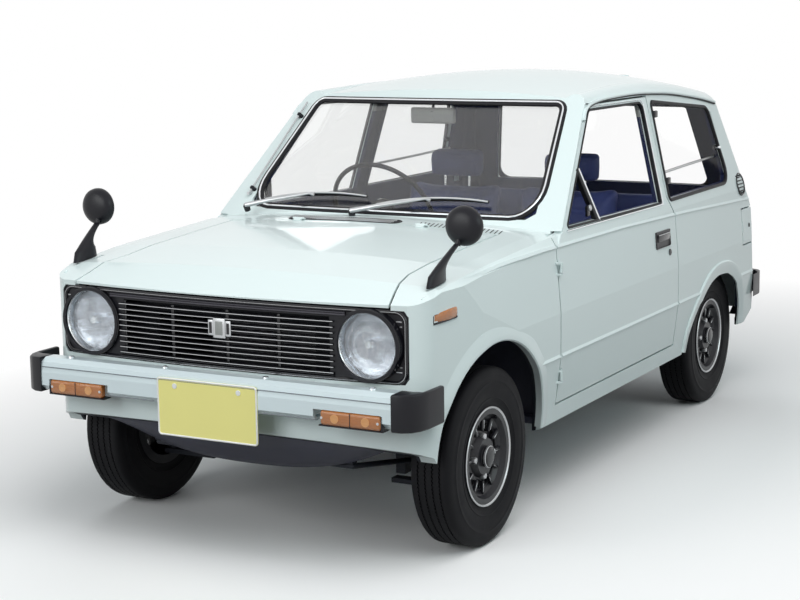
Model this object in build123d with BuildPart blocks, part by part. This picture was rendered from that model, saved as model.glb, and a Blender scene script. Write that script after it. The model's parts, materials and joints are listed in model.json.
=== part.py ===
# Two-door kei estate car, right-hand drive, front at -Y, up at +Z, in millimetres.
# The origin is on the ground, midway between the axles, on the centre plane.
import math
import os
from build123d import *

os.makedirs("parts", exist_ok=True)

# ---- driving dimensions ----
WHEELBASE = 2000.0
AXLE_Y = WHEELBASE / 2
TYRE_R = 257.0
TYRE_W = 128.0
RIM_R = 143.0
RIM_W = 108.0
FRONT_TRACK_HALF = 558.0
REAR_TRACK_HALF = 526.0
BODY_HALF = 648.0
FAR_X = BODY_HALF + 52.0
WALL = 28.0
GAP = 6.0
END_Y = 1492.0
SILL_Z = 255.0
FLOOR_Z = 290.0
FLOOR_T = 20.0

# body side outline, from the sill up to the belt (half width, height)
SILL_TURN_X = BODY_HALF - 26.0
SILL_TURN_Z = 262.0
CREASE_LOW_X = BODY_HALF - 0.5
CREASE_LOW_Z = 463.0
WIDEST_Z = 600.0
CREASE_X = BODY_HALF - 17.0
CREASE_Z = 803.0
BELT_X = BODY_HALF - 28.0
BELT_Z = 852.0
SILL_X = BODY_HALF - 48.0
SIDE_POINTS = (
    (SILL_X, SILL_Z),
    (SILL_TURN_X, SILL_TURN_Z),
    (CREASE_LOW_X, CREASE_LOW_Z),
    (BODY_HALF, WIDEST_Z),
    (CREASE_X, CREASE_Z),
    (BELT_X, BELT_Z),
)
TUMBLE = 90.0 / 348.0
TUMBLE_TOP_Z = 1330.0
TUMBLE_TOP_X = BELT_X - (TUMBLE_TOP_Z - BELT_Z) * TUMBLE

# roof stations along the car: position, gutter height, crown height
ROOF_STATIONS = (
    (-700.0, 1110.0, 1130.0),
    (-300.0, 1185.0, 1212.0),
    (0.0, 1200.0, 1250.0),
    (350.0, 1205.0, 1282.0),
    (700.0, 1188.0, 1280.0),
    (1118.0, 1133.0, 1240.0),
    (1480.0, 1050.0, 1165.0),
)

# front body stations: position, crease height, shoulder height, wing top height, crown height
WING_STATIONS = (
    (-1460.0, 700.0, 712.0, 716.0, 720.0),
    (-1362.0, 740.0, 750.0, 753.0, 764.0),
    (-1287.0, 762.0, 777.0, 783.0, 798.0),
    (-1076.0, 783.0, 800.0, 807.0, 826.0),
    (-818.0, 795.0, 816.0, 823.0, 845.0),
    (-566.0, 803.0, 830.0, 838.0, 861.0),
)
COWL_BACK_Y = -420.0

# windscreen plane: position at height WS_Z, rearward rise of 377 in 336
WS_Z = 860.0
WS_Y = -515.0
WS_BOW = 25.0
WS_LEAN = 377.0 / 336.0
WS_SLOPE = math.hypot(1.0, WS_LEAN)

# tail planes
TAIL_KNEE_Z = 690.0
TAIL_KNEE_Y = 1404.0
TAIL_UP_LEAN = -0.34
TAIL_LOW_LEAN = -0.12
TAIL_BOW = 30.0
TAIL_CORNER = 95.0

# nose plan
NOSE_Y = -1414.0
NOSE_CORNER_X = BODY_HALF - 80.0
NOSE_CORNER_Y = -1382.0

# shut lines
DOOR_FRONT_Y = -562.0
DOOR_REAR_LOW_Y = 466.0
DOOR_REAR_BELT_Y = 412.0
DOOR_REAR_TOP_Y = 432.0
DOOR_BOTTOM_Z = 322.0
DOOR_TOP_Z = 1196.0
HOOD_FRONT_Y = -1388.0
HOOD_REAR_Y = -652.0
HOOD_HALF = 472.0
HOOD_HALF_FRONT = 516.0
GATE_BOTTOM_Z = 572.0
GATE_TOP_Y = 1190.0
GATE_HALF_LOW = 548.0
GATE_HALF_TOP = 468.0

# openings for the wheels
FRONT_ARCH_Y = -992.0
FRONT_ARCH_Z = 262.0
FRONT_ARCH_R = 330.0

# running gear
SPINDLE_R = 18.0
RUNNING_FIT = 0.05
KINGPIN_X = 478.0
KINGPIN_R = 14.0


def save(item, label):
    item.part.label = label
    export_step(item.part, f"parts/{label}.step")


def lean_prism(points, lean, drop=0.0):
    """Closed plan outline at ground level, raised along a leaning direction."""
    with BuildPart() as made:
        with BuildSketch(Plane.XY):
            with BuildLine():
                for kind, nodes in points:
                    if kind == "line":
                        Polyline(*nodes)
                    else:
                        ThreePointArc(*nodes)
            make_face()
        reach = math.sqrt(1.0 + lean[0] ** 2 + lean[1] ** 2)
        extrude(amount=1400.0 * reach, dir=(lean[0], lean[1], 1.0))
    return made.part


def windscreen_side(inset):
    y_mid = WS_Y - WS_Z * WS_LEAN + inset * WS_SLOPE
    y_end = y_mid + WS_BOW * (FAR_X / 534.0) ** 2
    outline = (
        ("arc", ((-FAR_X, y_end), (0.0, y_mid), (FAR_X, y_end))),
        ("line", ((FAR_X, y_end), (FAR_X, 1700.0), (-FAR_X, 1700.0), (-FAR_X, y_end))),
    )
    return lean_prism(outline, (0.0, WS_LEAN))


def tail_side(lean, side, widen, inset):
    """Region ahead of a leaning tail plane, rounded at the corner on one side."""
    x_wall = BODY_HALF + widen - inset
    x_wall_low = x_wall + abs(side) * TUMBLE * TAIL_KNEE_Z
    y_mid = TAIL_KNEE_Y - lean * TAIL_KNEE_Z - inset * math.hypot(1.0, lean)
    y_turn = y_mid - TAIL_BOW
    x_turn = x_wall_low - TAIL_CORNER
    half = TAIL_CORNER * (1.0 - math.sqrt(0.5))
    x_knee = x_wall_low - half
    y_knee = y_turn - half
    y_start = y_turn - TAIL_CORNER
    outline = (
        ("arc", ((-x_turn, y_turn), (0.0, y_mid), (x_turn, y_turn))),
        ("arc", ((x_turn, y_turn), (x_knee, y_knee), (x_wall_low, y_start))),
        ("line", ((x_wall_low, y_start), (x_wall_low, -1700.0), (-x_wall_low, -1700.0),
                  (-x_wall_low, y_start))),
        ("arc", ((-x_wall_low, y_start), (-x_knee, y_knee), (-x_turn, y_turn))),
    )
    return lean_prism(outline, (-side * TUMBLE, lean))


def cabin_form(inset):
    """Cabin and load space, sill to roof, as one solid set in by a wall thickness."""
    right = [(-x, z) for x, z in reversed(SIDE_POINTS)]
    section = list(SIDE_POINTS) + [(TUMBLE_TOP_X, TUMBLE_TOP_Z), (-TUMBLE_TOP_X, TUMBLE_TOP_Z)] + right
    with BuildPart() as roof_limit:
        for y, gutter, crown in ROOF_STATIONS:
            gut = gutter - inset
            top = crown - inset
            x_gut = BELT_X - (gutter - BELT_Z) * TUMBLE - inset * 0.2
            x_flat = x_gut - 70.0
            z_flat = gut + 0.52 * (top - gut)
            with BuildSketch(Plane.XZ.offset(-y)):
                with BuildLine():
                    Polyline((-x_gut, gut), (-FAR_X, gut - 80.0), (-FAR_X, 60.0), (FAR_X, 60.0),
                             (FAR_X, gut - 80.0), (x_gut, gut))
                    ThreePointArc((x_gut, gut), (x_gut - 26.0, gut + 30.0), (x_flat, z_flat))
                    ThreePointArc((x_flat, z_flat), (0.0, top), (-x_flat, z_flat))
                    ThreePointArc((-x_flat, z_flat), (26.0 - x_gut, gut + 30.0), (-x_gut, gut))
                make_face()
        loft()
    with BuildPart() as form:
        with BuildSketch(Plane.XZ.offset(566.0 - inset)):
            with BuildLine():
                Polyline(*section, close=True)
            make_face()
            if inset:
                offset(amount=-inset, kind=Kind.INTERSECTION, mode=Mode.REPLACE)
        extrude(amount=-2100.0)
        add(roof_limit.part, mode=Mode.INTERSECT)
        add(windscreen_side(inset), mode=Mode.INTERSECT)
        add(tail_side(TAIL_UP_LEAN, 1.0, 16.0, inset), mode=Mode.INTERSECT)
        add(tail_side(TAIL_UP_LEAN, -1.0, 16.0, inset), mode=Mode.INTERSECT)
        add(tail_side(TAIL_LOW_LEAN, 0.0, 3.0, inset), mode=Mode.INTERSECT)
        with BuildSketch(Plane.YZ):
            with BuildLine():
                Polyline((-600.0, 200.0), (1290.0, 200.0), (1300.0, SILL_Z + inset), (1500.0,
                                        372.0 + inset),
                         (1500.0, 1400.0), (-600.0, 1400.0), (-600.0, 200.0))
            make_face()
        extrude(amount=FAR_X, both=True, mode=Mode.INTERSECT)
    return form.part


WING_TOP_X = BODY_HALF - 88.0
SHOULDER_X = BODY_HALF - 34.0
# front body plan beyond the nose corner: half width, place along, share of the wall inset across, and along
NOSE_PLAN = (
    (BODY_HALF - 48.0, -1360.0, 0.0, 0.8),
    (BODY_HALF - 30.0, -1318.0, 0.6, 0.5),
    (BODY_HALF - 8.0, -1080.0, 1.0, 0.0),
    (BODY_HALF + 4.0, -760.0, 1.0, 0.0),
    (BODY_HALF + 4.0, 0.0, 1.0, 0.0),
)


def nose_section(station, inset):
    """One cross-section of the front body, as a face in its own plane."""
    y, crease, shoulder, wing, crown = station
    half = ((WING_TOP_X, wing), (SHOULDER_X, shoulder), (CREASE_X, crease), (BODY_HALF, WIDEST_Z),
            (CREASE_LOW_X, CREASE_LOW_Z), (SILL_TURN_X, SILL_TURN_Z), (SILL_X, SILL_Z))
    with BuildSketch(Plane.XZ.offset(-y)) as section:
        with BuildLine():
            Polyline(*[(-x, z) for x, z in half], *reversed(half))
            ThreePointArc((WING_TOP_X, wing), (0.0, crown), (-WING_TOP_X, wing))
        make_face()
        if inset:
            offset(amount=-inset, kind=Kind.INTERSECTION, mode=Mode.REPLACE)
    return section.sketch


def nose_form(inset):
    """Engine bay, wings and bonnet up to the windscreen foot, set in by a wall thickness."""
    turn, corner, front, wide, back = [(x - inset * a, y + inset * b) for x, y, a, b in NOSE_PLAN]
    with BuildPart() as form:
        loft(sections=[nose_section(station, inset) for station in WING_STATIONS], ruled=True)
        extrude(to_extrude=nose_section(WING_STATIONS[-1], inset),
                amount=WING_STATIONS[-1][0] - COWL_BACK_Y)
        with BuildSketch(Plane.XY):
            with BuildLine():
                ThreePointArc((-NOSE_CORNER_X, NOSE_CORNER_Y + inset), (0.0, NOSE_Y + inset),
                              (NOSE_CORNER_X, NOSE_CORNER_Y + inset))
                ThreePointArc((NOSE_CORNER_X, NOSE_CORNER_Y + inset), turn, corner)
                Polyline(corner, front, wide, back)
                Line(back, (-back[0], back[1]))
                Polyline((-back[0], back[1]), (-wide[0], wide[1]), (-front[0], front[1]), (-corner[0],
                                        corner[1]))
                ThreePointArc((-corner[0], corner[1]), (-turn[0], turn[1]),
                              (-NOSE_CORNER_X, NOSE_CORNER_Y + inset))
            make_face()
        extrude(amount=1200.0, mode=Mode.INTERSECT)
        with BuildSketch(Plane.YZ):
            with BuildLine():
                Polyline((-1460.0, 385.0 + inset), (-1460.0, 1000.0), (0.0, 1000.0), (0.0, 200.0),
                         (-1240.0, 200.0),
                         (-1330.0, 330.0 + inset), (-1460.0, 385.0 + inset))
            make_face()
        extrude(amount=FAR_X, both=True, mode=Mode.INTERSECT)
    return form.part


def body_form(inset):
    with BuildPart() as form:
        add(cabin_form(inset))
        add(nose_form(inset))
    return form.part


def prism(plane, points, depth, grow=0.0):
    with BuildPart() as made:
        with BuildSketch(plane):
            with BuildLine():
                Polyline(*points, close=True)
            make_face()
            if grow:
                offset(amount=grow, kind=Kind.INTERSECTION, mode=Mode.REPLACE)
        extrude(amount=depth)
    return made.part


def side_prism(points, x_from, x_to, grow=0.0):
    return prism(Plane.YZ.offset(x_from), points, x_to - x_from, grow)


def cross_prism(points, y_from, y_to, grow=0.0):
    return prism(Plane.XZ.offset(-y_from), points, y_from - y_to, grow)


def plan_prism(points, z_from, z_to, grow=0.0):
    return prism(Plane.XY.offset(z_from), points, z_to - z_from, grow)


def mirrored(part):
    return part.mirror(Plane.YZ)


# ---- the shell and the plane of the panes ----
OUTER = body_form(0.0)
INNER = body_form(WALL)
PANE_OUT = 7.0
PANE_IN = 12.0
with BuildPart() as shell_build:
    add(OUTER)
    add(INNER, mode=Mode.SUBTRACT)
    with Locations((0.0, 20.0, 240.0)):
        Box(1190.0, 2900.0, 100.0, mode=Mode.SUBTRACT)
    with Locations((0.0, 1290.0, 300.0)):
        Box(1120.0, 200.0, 230.0, mode=Mode.SUBTRACT)
SHELL = shell_build.part
with BuildPart() as pane_build:
    add(body_form(PANE_OUT))
    add(body_form(PANE_IN), mode=Mode.SUBTRACT)
PANES = pane_build.part

# ---- outlines in side view (y, z) ----
PILLAR_Y = WS_Y + WS_BOW * 1.26
PILLAR_SEAM = 12.0


def pillar_y(z, back):
    return PILLAR_Y + (z - WS_Z) * WS_LEAN + back


DOOR = (
    (DOOR_FRONT_Y, DOOR_BOTTOM_Z),
    (DOOR_FRONT_Y, 826.0),
    (pillar_y(834.0, PILLAR_SEAM), 834.0),
    (pillar_y(DOOR_TOP_Z, PILLAR_SEAM), DOOR_TOP_Z),
    (DOOR_REAR_TOP_Y, DOOR_TOP_Z),
    (DOOR_REAR_BELT_Y, 850.0),
    (DOOR_REAR_LOW_Y, 775.0),
    (DOOR_REAR_LOW_Y, DOOR_BOTTOM_Z),
)
DOOR_HOLE = (
    (DOOR_FRONT_Y - GAP, DOOR_BOTTOM_Z - GAP),
    (DOOR_FRONT_Y - GAP, 832.0),
    (pillar_y(840.0, PILLAR_SEAM - 9.0), 840.0),
    (pillar_y(DOOR_TOP_Z + GAP, PILLAR_SEAM - 9.0), DOOR_TOP_Z + GAP),
    (DOOR_REAR_TOP_Y + GAP + 2.0, DOOR_TOP_Z + GAP),
    (DOOR_REAR_BELT_Y + GAP + 1.0, 852.0),
    (DOOR_REAR_LOW_Y + GAP, 777.0),
    (DOOR_REAR_LOW_Y + GAP, DOOR_BOTTOM_Z - GAP),
)
DOOR_WINDOW = (
    (pillar_y(848.0, 42.0), 848.0),
    (pillar_y(1178.0, 42.0), 1178.0),
    (384.0, 1178.0),
    (352.0, 840.0),
)
REAR_WINDOW = (
    (436.0, 842.0),
    (470.0, 1176.0),
    (1030.0, 1126.0),
    (1066.0, 1108.0),
    (1096.0, 868.0),
    (1072.0, 844.0),
)
ROOF_SEAM = (
    (-330.0, 1202.5),
    (DOOR_REAR_TOP_Y + 8.0, 1202.5),
    (700.0, 1183.0),
    (1118.0, 1128.0),
    (GATE_TOP_Y - GAP, 1113.0),
    (GATE_TOP_Y - GAP, 1400.0),
    (-330.0, 1400.0),
)
REAR_ARCH = (
    (575.0, 200.0),
    (588.0, 318.0),
    (700.0, 412.0),
    (760.0, 470.0),
    (840.0, 520.0),
    (945.0, 545.0),
    (1050.0, 532.0),
    (1150.0, 485.0),
    (1225.0, 410.0),
    (1272.0, 300.0),
    (1280.0, 200.0),
)
FUEL_FLAP = ((1206.0, 588.0), (1206.0, 722.0), (1330.0, 722.0), (1330.0, 588.0))
WINDSCREEN = (
    (-520.0, 884.0),
    (-472.0, 1180.0),
    (-448.0, 1198.0),
    (448.0, 1198.0),
    (472.0, 1180.0),
    (520.0, 884.0),
    (492.0, 866.0),
    (-492.0, 866.0),
)
GATE = (
    (-GATE_HALF_LOW, GATE_BOTTOM_Z),
    (-GATE_HALF_LOW, 780.0),
    (-GATE_HALF_TOP, 1400.0),
    (GATE_HALF_TOP, 1400.0),
    (GATE_HALF_LOW, 780.0),
    (GATE_HALF_LOW, GATE_BOTTOM_Z),
)
GATE_WINDOW = ((-470.0, 800.0), (-405.0, 1120.0), (405.0, 1120.0), (470.0, 800.0))
HOOD = (
    (-HOOD_HALF_FRONT, HOOD_FRONT_Y - 60.0),
    (-HOOD_HALF_FRONT, HOOD_FRONT_Y),
    (-HOOD_HALF - 28.0, -1330.0),
    (-HOOD_HALF, -1200.0),
    (-HOOD_HALF, HOOD_REAR_Y),
    (HOOD_HALF, HOOD_REAR_Y),
    (HOOD_HALF, -1200.0),
    (HOOD_HALF + 28.0, -1330.0),
    (HOOD_HALF_FRONT, HOOD_FRONT_Y),
    (HOOD_HALF_FRONT, HOOD_FRONT_Y - 60.0),
)
HOOD_SEAM_Z = 741.0
GRILLE = ((-560.0, 533.0), (-572.0, 550.0), (-572.0, 715.0), (-560.0, 731.0),
          (560.0, 731.0), (572.0, 715.0), (572.0, 550.0), (560.0, 533.0))



def wall_zone(points, inset):
    """Side prism limited to the thickness of the body side."""
    flank = [(x - inset, z) for x, z in SIDE_POINTS[1:]]
    top = flank[-1][0] - (TUMBLE_TOP_Z - flank[-1][1]) * TUMBLE
    low = (flank[0][0], 200.0)
    zone = [(FAR_X, 200.0), low] + flank + [(top, TUMBLE_TOP_Z), (FAR_X, TUMBLE_TOP_Z)]
    with BuildPart() as made:
        add(side_prism(points, 400.0, FAR_X))
        add(cross_prism(zone, -FAR_X, FAR_X), mode=Mode.INTERSECT)
    return made.part


DOOR_BODY = wall_zone(DOOR, WALL + 1.0)
DOOR_SPACE = wall_zone(DOOR_HOLE, WALL + 1.0 + GAP)
DOOR_LIGHT = side_prism(DOOR_WINDOW, 400.0, FAR_X)
REAR_LIGHT = side_prism(REAR_WINDOW, 400.0, FAR_X)
ROOF_SPACE = side_prism(ROOF_SEAM, -FAR_X, FAR_X)
REAR_ARCH_SPACE = side_prism(REAR_ARCH, 330.0, FAR_X)
FLAP_BODY = side_prism(FUEL_FLAP, BODY_HALF - 20.0, FAR_X)
FLAP_SPACE = side_prism(FUEL_FLAP, BODY_HALF - 26.0, FAR_X, GAP)
SCREEN_LIGHT = cross_prism(WINDSCREEN, -700.0, 60.0)
GATE_BODY = cross_prism(GATE, GATE_TOP_Y, 1600.0)
GATE_SPACE = cross_prism(GATE, GATE_TOP_Y - GAP, 1600.0, GAP)
GATE_LIGHT = cross_prism(GATE_WINDOW, 1100.0, 1500.0)
HOOD_BODY = plan_prism(HOOD, HOOD_SEAM_Z - 4.0, 1000.0)
HOOD_SPACE = plan_prism(HOOD, HOOD_SEAM_Z - 4.0 - GAP, 1000.0, GAP)
NOSE_SPACE = plan_prism(((-FAR_X, -1500.0), (-FAR_X, -1340.0), (FAR_X, -1340.0), (FAR_X, -1500.0)),
                        200.0, 735.0)
COWL_FRONT = HOOD_REAR_Y + GAP
COWL_SPACE = plan_prism(((-556.0, COWL_FRONT), (-556.0, -400.0), (556.0, -400.0), (556.0, COWL_FRONT)),
                        780.0, 1400.0)
GRILLE_SPACE = cross_prism(GRILLE, -1500.0, -1340.0)
LEFT_HALF = plan_prism(((0.0, -1600.0), (FAR_X, -1600.0), (FAR_X, 1600.0), (0.0, 1600.0)), 0.0, 1400.0)
WING_SPACE = plan_prism(((0.0, -1600.0), (FAR_X, -1600.0), (FAR_X, DOOR_FRONT_Y - GAP), (0.0,
                                        DOOR_FRONT_Y - GAP)),
                        0.0, 1400.0)

with BuildPart() as front_arch_build:
    with BuildSketch(Plane.YZ.offset(330.0)):
        with Locations((FRONT_ARCH_Y, FRONT_ARCH_Z)):
            Circle(FRONT_ARCH_R)
        with Locations((FRONT_ARCH_Y, FRONT_ARCH_Z - FRONT_ARCH_R)):
            Rectangle(2 * FRONT_ARCH_R, 2 * FRONT_ARCH_R)
    extrude(amount=400.0)
FRONT_ARCH_SPACE = front_arch_build.part

REAR_SPACE = plan_prism(((-575.0, 1345.0), (575.0, 1345.0), (575.0, 1600.0), (-575.0, 1600.0)),
                        200.0, GATE_BOTTOM_Z - GAP)
UNDERSIDE = plan_prism(((-560.0, -1500.0), (560.0, -1500.0), (560.0, -1200.0), (-560.0, -1200.0)),
                       200.0, 500.0)


def blocks(rows):
    """Plain boxes from rows of centre and size."""
    with BuildPart() as made:
        for x, y, z, size_x, size_y, size_z in rows:
            with Locations((x, y, z)):
                Box(size_x, size_y, size_z)
    return made.part


# through pegs and lamp pockets: centre and size
BUMPER_STAYS = blocks(((-330.0, -1389.0, 483.0, 50.0, 102.0, 60.0), (330.0, -1389.0, 483.0, 50.0,
                                        102.0, 60.0)))
REAR_STAYS = blocks(((-330.0, 1425.0, 412.0, 50.0, 90.0, 50.0), (330.0, 1425.0, 412.0, 50.0, 90.0, 50.0)))
MARKERS = blocks(((612.0, -1268.0, 707.0, 40.0, 110.0, 18.0), (-612.0, -1268.0, 707.0, 40.0, 110.0, 18.0)))
TAIL_LAMPS = blocks(((-492.0, 1410.0, 516.0, 150.0, 60.0, 70.0), (492.0, 1410.0, 516.0, 150.0, 60.0, 70.0)))
MIRROR_PEGS = blocks(((566.0, -1230.0, 778.0, 14.0, 60.0, 40.0), (-566.0, -1230.0, 778.0, 14.0, 60.0,
                                        40.0)))
WIPER_PEGS = blocks(((-487.0, -545.0, 856.0, 14.0, 14.0, 60.0), (-83.0, -545.0, 858.0, 14.0, 14.0, 60.0)))
ANTENNA_PEGS = blocks(((-538.0, -430.0, 905.0, 8.0, 60.0, 8.0), (-504.0, -162.0, 1144.0, 8.0, 60.0, 8.0)))
HANDLES = blocks(((BODY_HALF - 19.5, 330.0, 715.0, 25.0, 136.0, 58.0),))
VENTS = blocks(((590.0, 1215.0, 822.0, 60.0, 70.0, 70.0), (-590.0, 1215.0, 822.0, 60.0, 70.0, 70.0)))


def hinge_plane(origin, along, toward_child):
    return Plane(origin=origin, x_dir=toward_child, z_dir=along)


def hinge_barrel(frame, half, pin_r, barrel_r, reach):
    """Bored barrel and the strap that joins it to the moving panel."""
    with BuildPart() as made:
        with Locations(frame.location):
            Cylinder(barrel_r, 2 * half)
        with Locations(frame.location * Location((reach / 2, 0, 0))):
            Box(reach, 1.3 * barrel_r, 2 * half)
        with Locations(frame.location):
            Cylinder(pin_r + RUNNING_FIT, 4 * half, mode=Mode.SUBTRACT)
    return made.part


def hinge_ears(frame, half, pin_r, barrel_r, toward_root, reach):
    """Pin held in two ears fixed to the still panel."""
    arm = Plane(origin=frame.origin, x_dir=toward_root, z_dir=frame.z_dir)
    with BuildPart() as made:
        with Locations(frame.location):
            Cylinder(pin_r, 2 * half + 2 * EAR_T + 2.0)
        for side in (-1.0, 1.0):
            with Locations(arm.location * Location(((reach - pin_r - 1.0) / 2, 0,
                                        side * (half + 1.0 + EAR_T / 2)))):
                Box(reach + pin_r + 1.0, 1.3 * barrel_r, EAR_T)
    return made.part


def hinge_notch(frame, half, room):
    """Room in the moving panel for the ears."""
    with BuildPart() as made:
        with Locations(frame.location):
            Box(2 * room, 2 * room, 2 * half + 2 * EAR_T + 12.0)
    return made.part


EAR_T = 6.0
DOOR_AXIS_X = BODY_HALF - 2.0
DOOR_AXIS_Y = -560.0
BONNET_AXIS_Y = -649.5
BONNET_AXIS_Z = 858.0
GATE_AXIS_Y = 1190.0
GATE_AXIS_Z = 1236.0
FLAP_AXIS_X = BODY_HALF - 6.0
FLAP_AXIS_Y = 1207.5
UP = (0.0, 0.0, 1.0)
ACROSS = (1.0, 0.0, 0.0)
DOOR_HINGES = [hinge_plane((DOOR_AXIS_X, DOOR_AXIS_Y, z), UP, (-0.6, 1.0, 0.0)) for z in (405.0, 735.0)]
BONNET_HINGES = [hinge_plane((x, BONNET_AXIS_Y, BONNET_AXIS_Z), ACROSS, (0.0, -1.0,
                                        -0.5)) for x in (-220.0, 220.0)]
GATE_HINGES = [hinge_plane((x, GATE_AXIS_Y, GATE_AXIS_Z), ACROSS, (0.0, 1.0, -1.0)) for x in (-150.0,
                                        150.0)]
FLAP_HINGE = hinge_plane((FLAP_AXIS_X, FLAP_AXIS_Y, 655.0), UP, (-0.6, 1.0, 0.0))

# ---- fixed panels ----
with BuildPart() as roof:
    add(SHELL)
    add(ROOF_SPACE, mode=Mode.INTERSECT)
    add(GATE_SPACE, mode=Mode.SUBTRACT)
    add(SCREEN_LIGHT, mode=Mode.SUBTRACT)
    for frame in GATE_HINGES:
        add(hinge_ears(frame, 13.0, 3.0, 5.0, (0.0, -1.0, -0.8), 23.0))
save(roof, "roof")

with BuildPart() as cowl:
    add(SHELL)
    add(COWL_SPACE, mode=Mode.INTERSECT)
    add(ROOF_SPACE, mode=Mode.SUBTRACT)
    add(SCREEN_LIGHT, mode=Mode.SUBTRACT)
    add(DOOR_SPACE, mode=Mode.SUBTRACT)
    add(mirrored(DOOR_SPACE), mode=Mode.SUBTRACT)
    add(WIPER_PEGS, mode=Mode.SUBTRACT)
    add(ANTENNA_PEGS, mode=Mode.SUBTRACT)
    for frame in BONNET_HINGES:
        add(hinge_ears(frame, 13.0, 2.5, 4.0, (0.0, 1.0, -0.5), 13.0))
save(cowl, "cowl")

with BuildPart() as side_left:
    add(SHELL)
    add(LEFT_HALF, mode=Mode.INTERSECT)
    add(WING_SPACE, mode=Mode.SUBTRACT)
    add(ROOF_SPACE, mode=Mode.SUBTRACT)
    add(COWL_SPACE, mode=Mode.SUBTRACT)
    add(SCREEN_LIGHT, mode=Mode.SUBTRACT)
    add(DOOR_SPACE, mode=Mode.SUBTRACT)
    add(REAR_LIGHT, mode=Mode.SUBTRACT)
    add(REAR_ARCH_SPACE, mode=Mode.SUBTRACT)
    add(GATE_SPACE, mode=Mode.SUBTRACT)
    add(REAR_SPACE, mode=Mode.SUBTRACT)
    add(FLAP_SPACE, mode=Mode.SUBTRACT)
    add(VENTS, mode=Mode.SUBTRACT)
    add(hinge_ears(FLAP_HINGE, 9.0, 1.5, 3.0, (-0.6, -1.0, 0.0), 14.0))
save(side_left, "sideLeft")

with BuildPart() as side_right:
    add(SHELL)
    add(mirrored(LEFT_HALF), mode=Mode.INTERSECT)
    add(mirrored(WING_SPACE), mode=Mode.SUBTRACT)
    add(ROOF_SPACE, mode=Mode.SUBTRACT)
    add(COWL_SPACE, mode=Mode.SUBTRACT)
    add(SCREEN_LIGHT, mode=Mode.SUBTRACT)
    add(mirrored(DOOR_SPACE), mode=Mode.SUBTRACT)
    add(mirrored(REAR_LIGHT), mode=Mode.SUBTRACT)
    add(mirrored(REAR_ARCH_SPACE), mode=Mode.SUBTRACT)
    add(GATE_SPACE, mode=Mode.SUBTRACT)
    add(REAR_SPACE, mode=Mode.SUBTRACT)
    add(VENTS, mode=Mode.SUBTRACT)
    add(ANTENNA_PEGS, mode=Mode.SUBTRACT)
save(side_right, "sideRight")

with BuildPart() as rear_panel:
    add(SHELL)
    add(REAR_SPACE, mode=Mode.INTERSECT)
    add(TAIL_LAMPS, mode=Mode.SUBTRACT)
    add(REAR_STAYS, mode=Mode.SUBTRACT)
save(rear_panel, "rearPanel")

with BuildPart() as wing_left:
    add(SHELL)
    add(WING_SPACE, mode=Mode.INTERSECT)
    add(NOSE_SPACE, mode=Mode.SUBTRACT)
    add(COWL_SPACE, mode=Mode.SUBTRACT)
    add(HOOD_SPACE, mode=Mode.SUBTRACT)
    add(FRONT_ARCH_SPACE, mode=Mode.SUBTRACT)
    add(UNDERSIDE, mode=Mode.SUBTRACT)
    add(MARKERS, mode=Mode.SUBTRACT)
    add(MIRROR_PEGS, mode=Mode.SUBTRACT)
    for frame in DOOR_HINGES:
        add(hinge_ears(frame, 13.0, 3.0, 5.0, (-0.6, -1.0, 0.0), 22.0))
save(wing_left, "wingLeft")

with BuildPart() as wing_right:
    add(mirrored(wing_left.part))
save(wing_right, "wingRight")

with BuildPart() as nose:
    add(SHELL)
    add(NOSE_SPACE, mode=Mode.INTERSECT)
    add(GRILLE_SPACE, mode=Mode.SUBTRACT)
    add(HOOD_SPACE, mode=Mode.SUBTRACT)
    add(BUMPER_STAYS, mode=Mode.SUBTRACT)
save(nose, "nose")

# ---- moving panels ----
with BuildPart() as door_left:
    add(SHELL)
    add(DOOR_BODY, mode=Mode.INTERSECT)
    add(DOOR_LIGHT, mode=Mode.SUBTRACT)
    with Locations((598.0, -46.0, 560.0)):
        Box(46.0, 940.0, 430.0)
    add(HANDLES, mode=Mode.SUBTRACT)
    for frame in DOOR_HINGES:
        add(hinge_notch(frame, 13.0, 10.5), mode=Mode.SUBTRACT)
        add(hinge_barrel(frame, 13.0, 3.0, 5.0, 22.0))
save(door_left, "doorLeft")
with BuildPart() as door_right:
    add(mirrored(door_left.part))
save(door_right, "doorRight")
with BuildPart() as hood:
    add(SHELL)
    add(HOOD_BODY, mode=Mode.INTERSECT)
    for frame in BONNET_HINGES:
        add(hinge_notch(frame, 13.0, 9.0), mode=Mode.SUBTRACT)
        add(hinge_barrel(frame, 13.0, 2.5, 4.0, 16.0))
save(hood, "bonnet")
with BuildPart() as tailgate:
    add(SHELL)
    add(GATE_BODY, mode=Mode.INTERSECT)
    add(GATE_LIGHT, mode=Mode.SUBTRACT)
    for frame in GATE_HINGES:
        add(hinge_notch(frame, 13.0, 10.0), mode=Mode.SUBTRACT)
        add(hinge_barrel(frame, 13.0, 3.0, 5.0, 32.0))
save(tailgate, "tailgate")
with BuildPart() as fuel_flap:
    add(SHELL)
    add(FLAP_BODY, mode=Mode.INTERSECT)
    add(hinge_notch(FLAP_HINGE, 9.0, 5.5), mode=Mode.SUBTRACT)
    add(hinge_barrel(FLAP_HINGE, 9.0, 1.5, 3.0, 10.0))
save(fuel_flap, "fuelFlap")

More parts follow.
